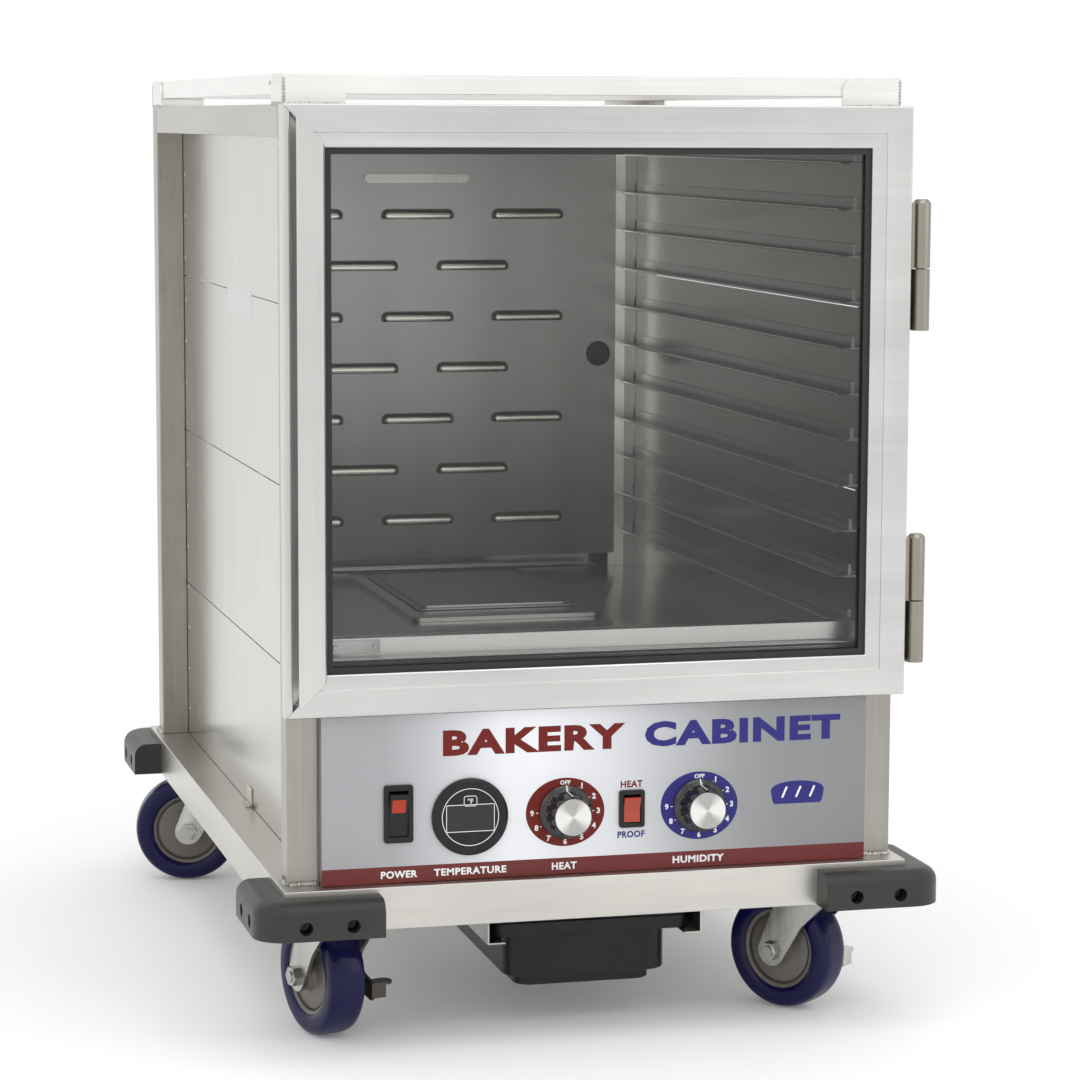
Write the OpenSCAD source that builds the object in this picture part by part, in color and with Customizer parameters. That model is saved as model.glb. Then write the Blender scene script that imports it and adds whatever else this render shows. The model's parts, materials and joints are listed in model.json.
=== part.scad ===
// Under-counter proofing cabinet on casters. Millimetres, +Z up, the front faces -Y.
// Origin: on the floor, under the centre of the body.

/* [Body] */
// Width over the corner posts
body_w = 510; // [500:2:560]
// Depth over the corner posts
body_d = 716; // [700:2:760]
// Side of the square post and top rail tube
post = 25.4; // [24:0.2:26]
// Height of the top of the top rails
frame_top = 758; // [758:1:790]

/* [Base] */
// Width over the base rails
base_w = 523; // [520:1:580]
// Depth over the base rails
base_d = 761; // [756:1:810]
// Height of the underside of the base rails
base_z = 103.5; // [103:0.5:106]
// Height of the base rails
base_h = 34.5; // [34:0.5:36]
// How far a bumper stands out from the base
bumper_t = 26; // [20:1:30]
// Length of each bumper leg
bumper_leg = 103; // [90:1:110]

/* [Door] */
// Door width
door_w = 518; // [512:1:540]
// Door height
door_h = 482; // [470:1:482]
// Width of the frame members
door_face = 34; // [32:0.5:36]
// How far the finger pull stands proud
pull_proud = 14; // [10:1:14]
// Diameter of the hinge barrels
barrel_d = 15; // [13:0.5:16]

/* [Cavity] */
// Number of tray slide pairs
slide_count = 11; // [4:1:11]
// Spacing of the tray slides
slide_pitch = 38.1; // [36:0.1:38.5]
// Length of a louver
louver_l = 74; // [60:1:80]
// Louver row spacing
louver_row = 50.8; // [45:0.1:51]

/* [Controls] */
// Skirt diameter of the two knobs
knob_d = 44; // [36:1:46]
// Flutes round a knob
knob_flutes = 12; // [8:1:16]
// Diameter of the thermometer
gauge_d = 63; // [56:1:64]

/* [Casters] */
// Wheel diameter
wheel_d = 101.6; // [96:0.2:101.6]
// Tyre width
tyre_w = 31.8; // [28:0.2:32]
// Distance from the swivel axis to the axle
trail = 35; // [30:1:36]

/* [Detail] */
// Facets of round edges in the preview
facets = 48; // [24:8:96]

/* [Hidden] */
$fn = facets;
hw = body_w / 2;
hd = body_d / 2;
yf = -hd;
base_top = base_z + base_h;
rail_z = frame_top - post;
door_t = 17;
seal_t = 2.7;
door_z1 = frame_top + 0.5;
door_z0 = door_z1 - door_h;
door_yb = yf - 3;
door_yf = door_yb - door_t;
fas_z0 = base_top + 0.5;
fas_z1 = door_z0 - 1.5;
fas_hw = hw - post - 0.6;
fas_y = yf - 11;
ov_y = fas_y - 0.4;
floor_z = 295;
wall_x = hw - post;
in_x = wall_x - 1;
duct_y = yf + 674;
slide_z = 711;
slide_len = 640;
slide_y0 = yf + 32;
seam = 0.05;
pan_c = [12, yf + 500];
hinge_x = hw + 16;
hinge_y = yf - 10;
hinge_z = [[576.5, 627, 683.5], [302, 353.5, 409]];
ctl_z = 190;
power_x = -166.7;
gauge_x = -108;
heat_x = -28;
mode_x = 27.6;
humid_x = 85.2;
wheel_r = wheel_d / 2;
hub_r = 34;
swivel_f = [206, base_d / 2 - 47.5];
swivel_r = [202, base_d / 2 - 90.5];
caster_fl = [-swivel_f[0], -swivel_f[1], 106];
caster_fr = [swivel_f[0], -swivel_f[1], 127];
caster_rl = [-swivel_r[0], swivel_r[1], 172];
caster_rr = [swivel_r[0], swivel_r[1], 150];
casters = [caster_fl, caster_fr, caster_rl, caster_rr];
rail_in = 76;
fan_c = [-150, yf + 470];
drip_rail_y0 = yf - 4;

// ---- helpers ----

// Box between two corners.
module span(a, b) {
  translate(a)
    cube([b[0] - a[0], b[1] - a[1], b[2] - a[2]]);
}

// Cylinder along X, Y or Z from a start point.
module rod(p, ax, l, d) {
  translate(p)
    rotate(ax == "x" ? [0, 90, 0] : ax == "y" ? [-90, 0, 0] : [0, 0, 0])
      cylinder(h = l, d = d);
}

// The children and their mirror image across the middle.
module both_x() {
  children();
  mirror([1, 0, 0])
    children();
}

// The children and their mirror image front to back.
module both_y() {
  children();
  mirror([0, 1, 0])
    children();
}

// Flat shape in Y and Z, extruded along X.
module along_x(x0, x1) {
  translate([x0, 0, 0])
    rotate([90, 0, 90])
      linear_extrude(height = x1 - x0)
        children();
}

// Flat shape in X and Z, extruded along Y.
module along_y(y0, y1) {
  translate([0, y1, 0])
    rotate([90, 0, 0])
      linear_extrude(height = y1 - y0)
        children();
}

// Rectangle with rounded corners, centred.
module soft_rect(w, h, r) {
  union() {
    square([w - 2 * r, h], center = true);
    square([w, h - 2 * r], center = true);
    for (sx = [-1, 1], sy = [-1, 1])
      translate([sx * (w / 2 - r), sy * (h / 2 - r)])
        circle(r = r);
  }
}

// ---- cabinet frame ----

// Base rails: upright web with a wide top flange for the posts and casters, and a welded side clip.
module base_rails() {
  color([0.78, 0.77, 0.74]) {
    both_y()
      along_x(-base_w / 2, base_w / 2)
        polygon([[-base_d / 2, base_z], [-base_d / 2, base_top], [-base_d / 2 + 62, base_top],
          [-base_d / 2 + 62, base_top - 4], [-base_d / 2 + 4, base_top - 4], [-base_d / 2 + 4, base_z]]);
    both_x()
      along_y(-base_d / 2 + 62, base_d / 2 - 62)
        polygon([[-base_w / 2, base_z], [-base_w / 2, base_top], [-base_w / 2 + 62, base_top],
          [-base_w / 2 + 62, base_top - 4], [-base_w / 2 + 4, base_top - 4], [-base_w / 2 + 4, base_z]]);
    both_x()
      both_y()
        span([-base_w / 2, -base_d / 2 + 4, base_z], [-base_w / 2 + 4, -base_d / 2 + 62, base_top - 4]);
    both_x()
      span([-wall_x - 2, -46, base_top], [-wall_x, -26, base_top + 17]);
  }
}

// Caster mounts: corner plate, caster top plate, raceway and four bolts at each corner.
module caster_mounts() {
  color([0.72, 0.72, 0.7])
    for (c = casters)
      translate([c[0], c[1], 0]) {
        translate([-42, -42, base_top - 12])
          cube([84, 84, 8]);
        difference() {
          rod([0, 0, base_top - 19], "z", 7, 60);
          rod([0, 0, base_top - 20], "z", 7, 14.8);
        }
        for (sx = [-1, 1], sy = [-1, 1])
          translate([sx * 34, sy * 34, base_top - 17])
            cylinder(h = 5, d = 13, $fn = 6);
      }
}

// Four corner posts of square tube.
module corner_posts() {
  color([0.8, 0.79, 0.76])
    both_x()
      both_y()
        difference() {
          span([-hw, -hd, base_top], [-hw + post, -hd + post, frame_top]);
          span([-hw + 2, -hd + 2, base_top - 1], [-hw + post - 2, -hd + post - 2, frame_top - 2]);
        }
}

// Top rails between the posts.
module top_rails() {
  color([0.8, 0.79, 0.76]) {
    both_y()
      span([-hw + post, -hd, rail_z], [hw - post, -hd + post, frame_top]);
    both_x()
      span([-hw, -hd + post, rail_z], [-hw + post, hd - post, frame_top]);
  }
}

// Guard rails of flat bar, held clear of the top by the gussets.
module guard_rails() {
  color([0.84, 0.83, 0.8]) {
    both_y()
      span([-hw + 2.5, -hd + 2.5, frame_top + 8], [hw - 2.5, -hd + 5.5, frame_top + 24]);
    both_x()
      difference() {
        span([-hw + 2.5, -hd + 5.5, frame_top + 8], [-hw + 5.5, hd - 5.5, frame_top + 24]);
        span([-hw, -hd + 64, frame_top + 15.5], [-hw + 8, -hd + 77, frame_top + 18.5]);
      }
  }
}

// Face of a gusset: plate with a rounded free corner.
module gusset_face() {
  union() {
    square([38, 24]);
    square([50, 12]);
    translate([38, 12])
      circle(r = 12);
  }
}

// L-shaped corner gussets, welded on the posts and rails.
module corner_gussets() {
  color([0.8, 0.79, 0.77])
    both_x()
      both_y() {
        translate([-hw, -hd + 2.5, frame_top])
          rotate([90, 0, 0])
            linear_extrude(height = 2.5)
              gusset_face();
        translate([-hw, -hd + 2.5, frame_top])
          rotate([90, 0, 90])
            linear_extrude(height = 2.5)
              gusset_face();
      }
}

// Side skins: four planks a side, with a fine gap at each seam.
module side_planks() {
  top = rail_z + 14;
  ph = (top - base_top - 0.6) / 4;
  color([0.84, 0.83, 0.81])
    both_x()
      for (i = [0:3])
        span([-wall_x, -hd + 0.5, base_top + 0.6 + i * ph],
          [-in_x, hd - 2.5, min(base_top + 0.6 + (i + 1) * ph - 0.8, rail_z)]);
}

// Sheet across the back, above the heater module.
module rear_panel() {
  color([0.8, 0.79, 0.77])
    span([-in_x + 0.2, hd - 2, door_z0 - 1], [in_x - 0.2, hd - 0.5, rail_z]);
}

// Sheet closing the top between the top rails.
module top_panel() {
  color([0.8, 0.79, 0.77])
    span([-wall_x, -hd + post, frame_top - 2], [wall_x, hd - post, frame_top - 0.5]);
}

// Cavity floor with the water opening, its raised curb and the air slot at the back.
module floor_panel() {
  color([0.5, 0.49, 0.47])
    difference() {
      union() {
        span([-in_x + 0.2, slide_y0, floor_z - 1.5], [in_x - 0.2, hd - 2.5, floor_z]);
        translate([pan_c[0], pan_c[1], floor_z])
          linear_extrude(height = 4)
            soft_rect(176, 318, 8);
      }
      translate([pan_c[0], pan_c[1], floor_z - 5])
        linear_extrude(height = 20)
          soft_rect(132, 216, 6);
      span([-190, duct_y + 6, floor_z - 5], [190, hd - 12, floor_z + 5]);
    }
}

// Bar along X with ball ends.
module capsule(l, d) {
  union() {
    rod([-l / 2, 0, 0], "x", l, d);
    for (x = [-l / 2, l / 2])
      translate([x, 0, 0])
        sphere(d = d);
  }
}

// One louver hood over its slot, on the front of the duct panel.
module louver(x, z, l) {
  translate([x, duct_y, z])
    intersection() {
      difference() {
        capsule(l - 13, 13);
        capsule(l - 13, 10.6);
      }
      span([-l, -8, -3.5], [l, 0.2, 8]);
    }
}

// Louvered air duct panel: rows stagger by half a column.
module duct_panel() {
  color([0.5, 0.49, 0.47]) {
    difference() {
      span([-206, duct_y, floor_z + 14], [206, duct_y + 1, rail_z - 6]);
      for (r = [0:6])
        for (x = r % 2 == 0 ? [-111, 1.5, 114] : [-167.5, -55, 57.5])
          span([x - louver_l / 2 + 6, duct_y - 1, 652 - r * louver_row - 3.5],
            [x + louver_l / 2 - 6, duct_y + 2, 652 - r * louver_row + 3]);
      rod([188, duct_y - 1, 512.5], "y", 3, 19);
    }
    for (r = [0:6])
      for (x = r % 2 == 0 ? [-111, 1.5, 114] : [-167.5, -55, 57.5])
        louver(x, 652 - r * louver_row, louver_l);
    translate([1, duct_y, 688.5])
      rotate([90, 0, 0])
        linear_extrude(height = 2)
          soft_rect(106, 9, 4.4);
  }
}

// Round plug in the duct panel's spare hole.
module hole_plug() {
  color([0.08, 0.08, 0.08])
    translate([188, duct_y, 512.5])
      rotate([90, 0, 0])
        difference() {
          union() {
            cylinder(h = 1.6, d = 25);
            translate([0, 0, 1.6])
              cylinder(h = 1.4, d1 = 25, d2 = 17);
            translate([0, 0, -5])
              cylinder(h = 5, d = 18.6);
          }
          translate([0, 0, -6])
            cylinder(h = 5, d = 15);
        }
}

// Tray slides, a shelf strip and a wall strip a side at each level, with the rear corner uprights.
module tray_racks() {
  color([0.55, 0.54, 0.52])
    both_x() {
      for (i = [0:slide_count - 1])
        translate([-in_x, 0, slide_z - i * slide_pitch]) {
          along_y(slide_y0, slide_y0 + slide_len)
            polygon([[0, 0], [14, 0], [15, 1], [15, 2], [13.6, 2], [13.6, 1.4], [0, 1.4]]);
          along_y(slide_y0, slide_y0 + slide_len)
            polygon([[0, 1.4 + seam], [1.4, 1.4 + seam], [1.4, 11], [0, 11]]);
        }
      difference() {
        span([-in_x, duct_y + 1, floor_z], [-200, hd - 4, rail_z]);
        span([-in_x + 1.5, duct_y + 2.5, floor_z - 1], [-199, hd - 3, rail_z + 1]);
      }
    }
}

// Folded sill under the door opening.
module sill() {
  y = yf + 3;
  color([0.55, 0.54, 0.52])
    along_x(-in_x + 0.2, in_x - 0.2)
      polygon([[y, 276], [y, 317], [y - 1.4, 318], [y - 1.4, 319.5], [y + 13, 319.5], [y + 13, 334],
        [y + 29, 334], [y + 29, 294], [y + 27.5, 294], [y + 27.5, 332.5], [y + 14.5, 332.5],
        [y + 14.5, 318], [y + 1.5, 318], [y + 1.5, 277.5], [y + 12, 277.5], [y + 12, 276]]);
}

// Small blank plate fixed on the sill by two rivets.
module sill_plate() {
  color([0.78, 0.77, 0.74])
    translate([-196, yf + 16, 327]) {
      translate([-20.5, -1.2, -5.5])
        cube([41, 1.2, 11]);
      for (s = [-1, 1])
        rod([s * 16, -2.2, 0], "y", 1, 4);
    }
}

// Fixed hinge halves: leaf on the post, arm, lower barrel and its pin.
module hinge_lower() {
  color([0.5, 0.47, 0.42])
    for (h = hinge_z) {
      rod([hinge_x, hinge_y, h[0]], "z", h[1] - h[0] - 0.4, barrel_d);
      translate([0, 0, h[0]])
        linear_extrude(height = h[1] - h[0] - 0.4)
          polygon([[hw, yf + 6], [hw + 3, yf + 6], [hw + 6.5, yf - 0.5], [hinge_x + 3, hinge_y + 2],
            [hinge_x - 2, hinge_y + 1], [hw + 7, yf - 3.8], [hw + 3.2, yf + 0.8], [hw, yf + 2]]);
      span([hw, yf + 4, h[0]], [hw + 3, yf + 24, h[1] - 0.4]);
      rod([hinge_x, hinge_y, h[0]], "z", h[1] - h[0] + 38, 7.5);
    }
}

// Outline of a bumper leg: out from the base and up, rounded on its outer edges.
module bumper_outline(t, h) {
  union() {
    square([t - 12, h]);
    square([t, h - 12]);
    translate([t - 12, h - 12])
      circle(r = 12);
  }
}

// L-shaped moulded corner bumpers with counterbored screw holes in both legs.
module bumpers() {
  x0 = base_w / 2;
  y0 = base_d / 2;
  h = base_h - 4.5;
  l = bumper_leg - bumper_t;
  color([0.2, 0.2, 0.2])
    both_x()
      both_y()
        difference() {
          translate([-x0, -y0, base_z])
            union() {
              rotate([0, 0, 180])
                rotate_extrude(angle = 90)
                  bumper_outline(bumper_t, h);
              translate([0, l, 0])
                rotate([90, 0, 0])
                  linear_extrude(height = l)
                    mirror([1, 0])
                      bumper_outline(bumper_t, h);
              rotate([90, 0, 90])
                linear_extrude(height = l)
                  mirror([1, 0])
                    bumper_outline(bumper_t, h);
            }
          for (x = [-x0 + 13, -x0 + 51]) {
            rod([x, -y0 - bumper_t - 5, base_z + 10.5], "y", 22, 11);
            rod([x, -y0 - bumper_t - 5, base_z + 10.5], "y", 60, 5.4);
          }
          for (y = [-y0 + 13, -y0 + 51]) {
            rod([-x0 - bumper_t - 5, y, base_z + 10.5], "x", 22, 11);
            rod([-x0 - bumper_t - 5, y, base_z + 10.5], "x", 60, 5.4);
          }
        }
}

// Pan head screws at the bottom of the bumpers' counterbores.
module bumper_screws() {
  color([0.25, 0.25, 0.25])
    both_x()
      both_y() {
        for (x = [-base_w / 2 + 13, -base_w / 2 + 51])
          translate([x, -base_d / 2 - bumper_t + 17, base_z + 10.5])
            rotate([90, 0, 0])
              difference() {
                cylinder(h = 3.2, d = 9);
                translate([0, 0, 2])
                  cylinder(h = 2, d = 4, $fn = 6);
              }
        for (y = [-base_d / 2 + 13, -base_d / 2 + 51])
          translate([-base_w / 2 - bumper_t + 17, y, base_z + 10.5])
            rotate([0, -90, 0])
              difference() {
                cylinder(h = 3.2, d = 9);
                translate([0, 0, 2])
                  cylinder(h = 2, d = 4, $fn = 6);
              }
      }
}

// Rails that carry the drip pan, with the end stop and the two cross bars they hang from.
module drip_rails() {
  y1 = drip_rail_y0 + 330;
  color([0.8, 0.79, 0.77]) {
    both_x()
      along_y(drip_rail_y0, y1)
        polygon([[-rail_in - 15, 81], [-rail_in, 81], [-rail_in, 82.5], [-rail_in - 13.5, 82.5],
          [-rail_in - 13.5, base_z], [-rail_in - 15, base_z]]);
    span([-rail_in - 15, y1 - 1.5, 81], [rail_in + 15, y1, base_z]);
    for (y = [yf + 90, y1 - 40])
      span([-base_w / 2 + 4, y, base_z], [base_w / 2 - 4, y + 30, base_z + 3]);
  }
}

// Angle runners that the heater module slides on.
module module_runners() {
  color([0.75, 0.74, 0.72])
    both_x()
      along_y(yf + 2, hd - 30)
        polygon([[-in_x, base_top], [-in_x + 24, base_top], [-in_x + 24, base_top + 1.5],
          [-in_x + 1.5, base_top + 1.5], [-in_x + 1.5, base_top + 14], [-in_x, base_top + 14]]);
}

// Blind rivets in rows beside the posts, and the screws near the front post's ends.
module post_rivets() {
  color([0.72, 0.71, 0.69]) {
    both_x()
      both_y()
        for (i = [0:13])
          rod([-wall_x - 1.1, hd - post - 12, base_top + 27 + i * 40.6], "x", 1.1, 5);
    rod([-hw - 1.2, yf + 18, base_top + 168], "x", 1.2, 6);
    both_x()
      rod([-hw - 1.2, yf + 18, rail_z - 6], "x", 1.2, 6);
  }
}

// ---- door ----

// Cross-section of a plain frame member: across the face from the outer edge, and depth.
module frame_section() {
  polygon([[0, 0], [0, door_t - 0.8], [0.8, door_t], [22, door_t], [22, door_t - 1.4], [23, door_t - 1.4],
    [door_face - 1, door_t - 2.2], [door_face, door_t - 3.2], [door_face, door_t - 6.6],
    [door_face - 8, door_t - 6.6], [door_face - 8, door_t - 11.4], [door_face, door_t - 11.4],
    [door_face, 0]]);
}

// Cross-section of the pull stile: lip, recess and proud hooked face.
module pull_section() {
  p = door_t + pull_proud;
  polygon([[0, 0], [0, door_t - 0.8], [0.8, door_t], [5.2, door_t], [6, door_t - 0.8], [6, 7], [8, 5],
    [18, 5], [20, 7], [20, p - 5], [18, p - 3], [9.5, p - 3], [8.5, p - 2.2], [8.5, p - 1], [9.5, p],
    [29, p], [31, p - 2], [31, door_t - 2.2], [door_face - 1, door_t - 2.2],
    [door_face, door_t - 3.2], [door_face, door_t - 6.6], [door_face - 8, door_t - 6.6],
    [door_face - 8, door_t - 11.4], [door_face, door_t - 11.4], [door_face, 0]]);
}

// Upright member at the left edge, mitred at both ends.
module stile() {
  translate([-door_w / 2, door_yb, door_z0])
    intersection() {
      mirror([0, 1, 0])
        linear_extrude(height = door_h)
          children();
      translate([0, 1, 0])
        rotate([90, 0, 0])
          linear_extrude(height = 60)
            polygon([[0, 0], [door_face + 5, door_face + 5], [door_face + 5, door_h - door_face - 5],
              [0, door_h]]);
    }
}

// Top member, mitred at both ends.
module rail() {
  translate([-door_w / 2, door_yb, door_z1])
    intersection() {
      rotate([0, 90, 0])
        mirror([0, 1, 0])
          linear_extrude(height = door_w)
            children();
      translate([0, 1, 0])
        rotate([90, 0, 0])
          linear_extrude(height = 60)
            polygon([[0, 0], [door_w, 0], [door_w - door_face - 5, -door_face - 5],
              [door_face + 5, -door_face - 5]]);
    }
}

// Plain door members: top, bottom and hinge side.
module door_frame() {
  color([0.76, 0.76, 0.75]) {
    rail()
      frame_section();
    translate([0, 0, door_z0 + door_z1])
      mirror([0, 0, 1])
        rail()
          frame_section();
    mirror([1, 0, 0])
      stile()
        frame_section();
  }
}

// Full-height finger pull on the free edge.
module pull_stile() {
  color([0.78, 0.78, 0.77])
    stile()
      pull_section();
}

// Clear pane.
module door_glass() {
  f = door_face - 6;
  color([0.8, 0.9, 0.9, 0.3])
    span([-door_w / 2 + f, door_yb - 10, door_z0 + f], [door_w / 2 - f, door_yb - 6, door_z1 - f]);
}

// Black glazing strip showing inside the frame, front and back of the pane.
module glazing_gasket() {
  f = door_face;
  color([0.05, 0.05, 0.05])
    for (y = [[door_yb - 12, door_yb - 10], [door_yb - 6, door_yb - 4]])
      difference() {
        span([-door_w / 2 + f, y[0], door_z0 + f], [door_w / 2 - f, y[1], door_z1 - f]);
        span([-door_w / 2 + f + 5, y[0] - 1, door_z0 + f + 5],
          [door_w / 2 - f - 5, y[1] + 1, door_z1 - f - 5]);
      }
}

// Magnetic seal on the back of the door.
module door_seal() {
  color([0.12, 0.12, 0.12])
    difference() {
      span([-hw + 6, door_yb, door_z0 + 8], [hw - 6, door_yb + seal_t, door_z1 - 8]);
      span([-hw + 20, door_yb - 1, door_z0 + 26], [hw - 20, door_yb + 5, door_z1 - 26]);
    }
}

// Door hinge halves: leaf on the door's edge and the upper barrel with a domed cap.
module hinge_upper() {
  color([0.5, 0.47, 0.42])
    for (h = hinge_z)
      difference() {
        union() {
          rod([hinge_x, hinge_y, h[1] + 0.4], "z", h[2] - h[1] - 3.4, barrel_d);
          translate([hinge_x, hinge_y, h[2] - 3])
            cylinder(h = 3, d1 = barrel_d, d2 = barrel_d - 5);
          span([door_w / 2, hinge_y - 3, h[1] + 0.4], [hinge_x, hinge_y + 3, h[2] - 3]);
          span([door_w / 2, door_yf + 2, h[1] + 0.4], [door_w / 2 + 2.5, door_yb - 2, h[2] - 3]);
        }
        rod([hinge_x, hinge_y, h[1] - 5], "z", 46, 8.2);
      }
}

// ---- heater module ----

// Holes through the module front for its controls.
module control_holes(y0, d) {
  translate([power_x, y0, ctl_z + 5])
    rotate([-90, 0, 0])
      linear_extrude(height = d)
        soft_rect(20, 41, 1);
  rod([gauge_x, y0, ctl_z], "y", d, gauge_d - 7);
  for (x = [heat_x, humid_x])
    rod([x, y0, ctl_z], "y", d, 10);
  translate([mode_x, y0, ctl_z])
    rotate([-90, 0, 0])
      linear_extrude(height = d)
        soft_rect(18, 27, 1);
}

// Folded front of the module.
module fascia() {
  color([0.74, 0.74, 0.75])
    difference() {
      span([-fas_hw, fas_y, fas_z0], [fas_hw, yf - 1, fas_z1]);
      span([-fas_hw + 1.5, fas_y + 1.5, fas_z0 + 1.5], [fas_hw - 1.5, yf + 9, fas_z1 - 1.5]);
      control_holes(fas_y - 1, 4);
    }
}

// Printed sheet on the module front.
module overlay() {
  color([0.65, 0.67, 0.7])
    difference() {
      span([-fas_hw, ov_y, fas_z0], [fas_hw, fas_y, fas_z1]);
      control_holes(ov_y - 1, 4);
    }
}

// Module chassis of spot-welded plates: floor, sides, back and the two bars that hold the water pan.
module chassis() {
  x = 221;
  z0 = base_top + 2;
  z1 = 266;
  y0 = fas_y + 1.5;
  y1 = hd - 4;
  color([0.6, 0.6, 0.58]) {
    span([-x, y0, z0], [x, y1 - seam, z0 + 1.5]);
    both_x()
      span([-x, y0, z0 + 1.5 + seam], [-x + 1.5, y1 - seam, z1]);
    difference() {
      span([-98, y1, z0], [x + 5, y1 + 1.5, z1 + 4]);
      for (i = [0:7])
        span([60 + i * 14, y1 - 1, 170], [66 + i * 14, y1 + 4, 230]);
    }
    span([-x - 5, y1, z0], [-126, y1 + 1.5, z1 + 4]);
    span([-126 + seam, y1, z0], [-98 - seam, y1 + 1.5, 166]);
    span([-126 + seam, y1, 190], [-98 - seam, y1 + 1.5, z1 + 4]);
    for (y = [pan_c[1] - 159, pan_c[1] + 149])
      span([-x + 1.5 + seam, y, 258], [x - 1.5 - seam, y + 10, 260]);
  }
}

// Tubular heating element: three parallel runs joined by bends, on two terminals.
module heating_element() {
  z = 170;
  y0 = pan_c[1] - 100;
  y1 = pan_c[1] + 100;
  color([0.35, 0.33, 0.32]) {
    for (x = [-45, -15, 15, 45])
      rod([pan_c[0] + x, y0, z], "y", y1 - y0, 8);
    for (x = [-30, 30])
      translate([pan_c[0] + x, y1, z])
        rotate_extrude(angle = 180)
          translate([15, 0])
            circle(d = 8);
    translate([pan_c[0], y0, z])
      rotate([0, 0, 180])
        rotate_extrude(angle = 180)
          translate([15, 0])
            circle(d = 8);
    for (x = [-45, 45]) {
      rod([pan_c[0] + x, y0 - 30, z], "y", 30, 8);
      span([pan_c[0] + x - 7, y0 - 42, base_top + 3.5], [pan_c[0] + x + 7, y0 - 30, z + 8]);
    }
  }
}

// Third-size water pan hung on the chassis bars, over the element.
module water_pan() {
  color([0.62, 0.62, 0.6])
    translate([pan_c[0], pan_c[1], 0])
      difference() {
        union() {
          translate([0, 0, 196])
            linear_extrude(height = 64)
              soft_rect(152, 294, 24);
          translate([0, 0, 260])
            linear_extrude(height = 1.5)
              soft_rect(176, 318, 12);
        }
        translate([0, 0, 197.5])
          linear_extrude(height = 70)
            soft_rect(149, 291, 22.5);
      }
}

// Fan housing: square frame with a round duct, three arms and the motor.
module fan_housing() {
  color([0.12, 0.12, 0.12])
    translate([fan_c[0], fan_c[1], base_top + 3.5])
      difference() {
        union() {
          difference() {
            translate([-55, 0, 0])
              cube([110, 32, 110]);
            rod([0, -1, 55], "y", 40, 102);
          }
          rod([0, 22, 55], "y", 10, 36);
          for (a = [90, 210, 330])
            translate([0, 22, 55])
              rotate([0, a, 0])
                translate([15, 0, -3])
                  cube([38, 8, 6]);
        }
        rod([0, 21, 55], "y", 8, 4.8);
      }
}

// Fan wheel: hub with seven pitched blades and its shaft.
module fan_wheel() {
  color([0.2, 0.2, 0.2])
    translate([fan_c[0], fan_c[1], base_top + 58.5]) {
      rod([0, 4, 0], "y", 17, 34);
      rod([0, 20, 0], "y", 7, 4);
      for (i = [0:6])
        rotate([0, i * 360 / 7, 0])
          translate([15, 12, 0])
            rotate([38, 0, 0])
              translate([0, -1, -10])
                cube([30, 2, 20]);
    }
}

// Rocker switch housing: proud bezel, well with pivot holes, and the body behind the sheet.
module bezel(x, z, w, h, ow, oh) {
  translate([x, 0, z])
    difference() {
      union() {
        translate([0, ov_y - 2.2, 0])
          rotate([-90, 0, 0])
            linear_extrude(height = 2.2)
              soft_rect(w, h, 2.5);
        translate([0, ov_y, 0])
          rotate([-90, 0, 0])
            linear_extrude(height = 22)
              soft_rect(ow + 3, oh + 3, 0.8);
      }
      translate([0, ov_y - 5, 0])
        rotate([-90, 0, 0])
          linear_extrude(height = 21)
            soft_rect(ow, oh, 0.5);
      rod([-ow / 2 - 1, ov_y + 2, 0], "x", ow + 2, 3.4);
    }
}

module switch_bezels() {
  color([0.07, 0.07, 0.07]) {
    bezel(power_x, ctl_z + 5, 24, 47, 16, 37.6);
    bezel(mode_x, ctl_z, 21.5, 31, 14.6, 23.4);
  }
}

// Rocker key tilted to its rest side, with pivot pins; hl is half its length, w its width.
module rocker(x, z, hl, w, tilt) {
  translate([x, ov_y + 2, z])
    rotate([tilt, 0, 0]) {
      along_x(-w / 2, w / 2)
        polygon([[-3.4, 0], [-5.6, hl], [-1.5, hl - 0.4], [3.5, hl * 0.45], [3.5, -hl * 0.45],
          [-1.5, -hl + 0.4], [-5.6, -hl]]);
      rod([-w / 2 - 0.9, 0, 0], "x", w + 1.8, 2.6);
    }
}

module power_rocker() {
  color([0.1, 0.1, 0.1])
    rocker(power_x, ctl_z + 5, 17.6, 15.2, 9);
}

module mode_rocker() {
  color([0.75, 0.12, 0.05])
    rocker(mode_x, ctl_z, 10.4, 13.8, 9);
}

// Round digital thermometer: rim, recessed face, display window and body behind.
module thermometer() {
  color([0.07, 0.07, 0.07])
    translate([gauge_x, ov_y, ctl_z])
      rotate([90, 0, 0])
        difference() {
          union() {
            cylinder(h = 2.6, d = gauge_d);
            translate([0, 0, 2.6])
              cylinder(h = 1.6, d1 = gauge_d, d2 = gauge_d - 5);
            translate([0, 0, -26])
              cylinder(h = 26, d = gauge_d - 8);
          }
          translate([0, 0, 3.2])
            cylinder(h = 4, d = 49);
          translate([-19, -11, 2.4])
            cube([38, 20.5, 4]);
        }
}

// Thermostat and humidity control bodies, with bushings through the front.
module control_bodies() {
  color([0.3, 0.3, 0.3])
    for (x = [heat_x, humid_x])
      difference() {
        union() {
          span([x - 19, fas_y + 1.5, ctl_z - 19], [x + 19, fas_y + 31.5, ctl_z + 19]);
          rod([x, ov_y - 0.2, ctl_z], "y", 10, 9.6);
        }
        rod([x, ov_y - 1, ctl_z], "y", 24, 6.8);
      }
}

// Power inlet at the back of the chassis.
module power_inlet() {
  color([0.07, 0.07, 0.07])
    translate([-112, hd - 2.5, 178])
      difference() {
        union() {
          span([-18, 0, -16], [18, 2.4, 16]);
          span([-13.5, -20, -11.5], [13.5, 0, 11.5]);
        }
        span([-12, -16, -10], [12, 4, 10]);
      }
}

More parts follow.
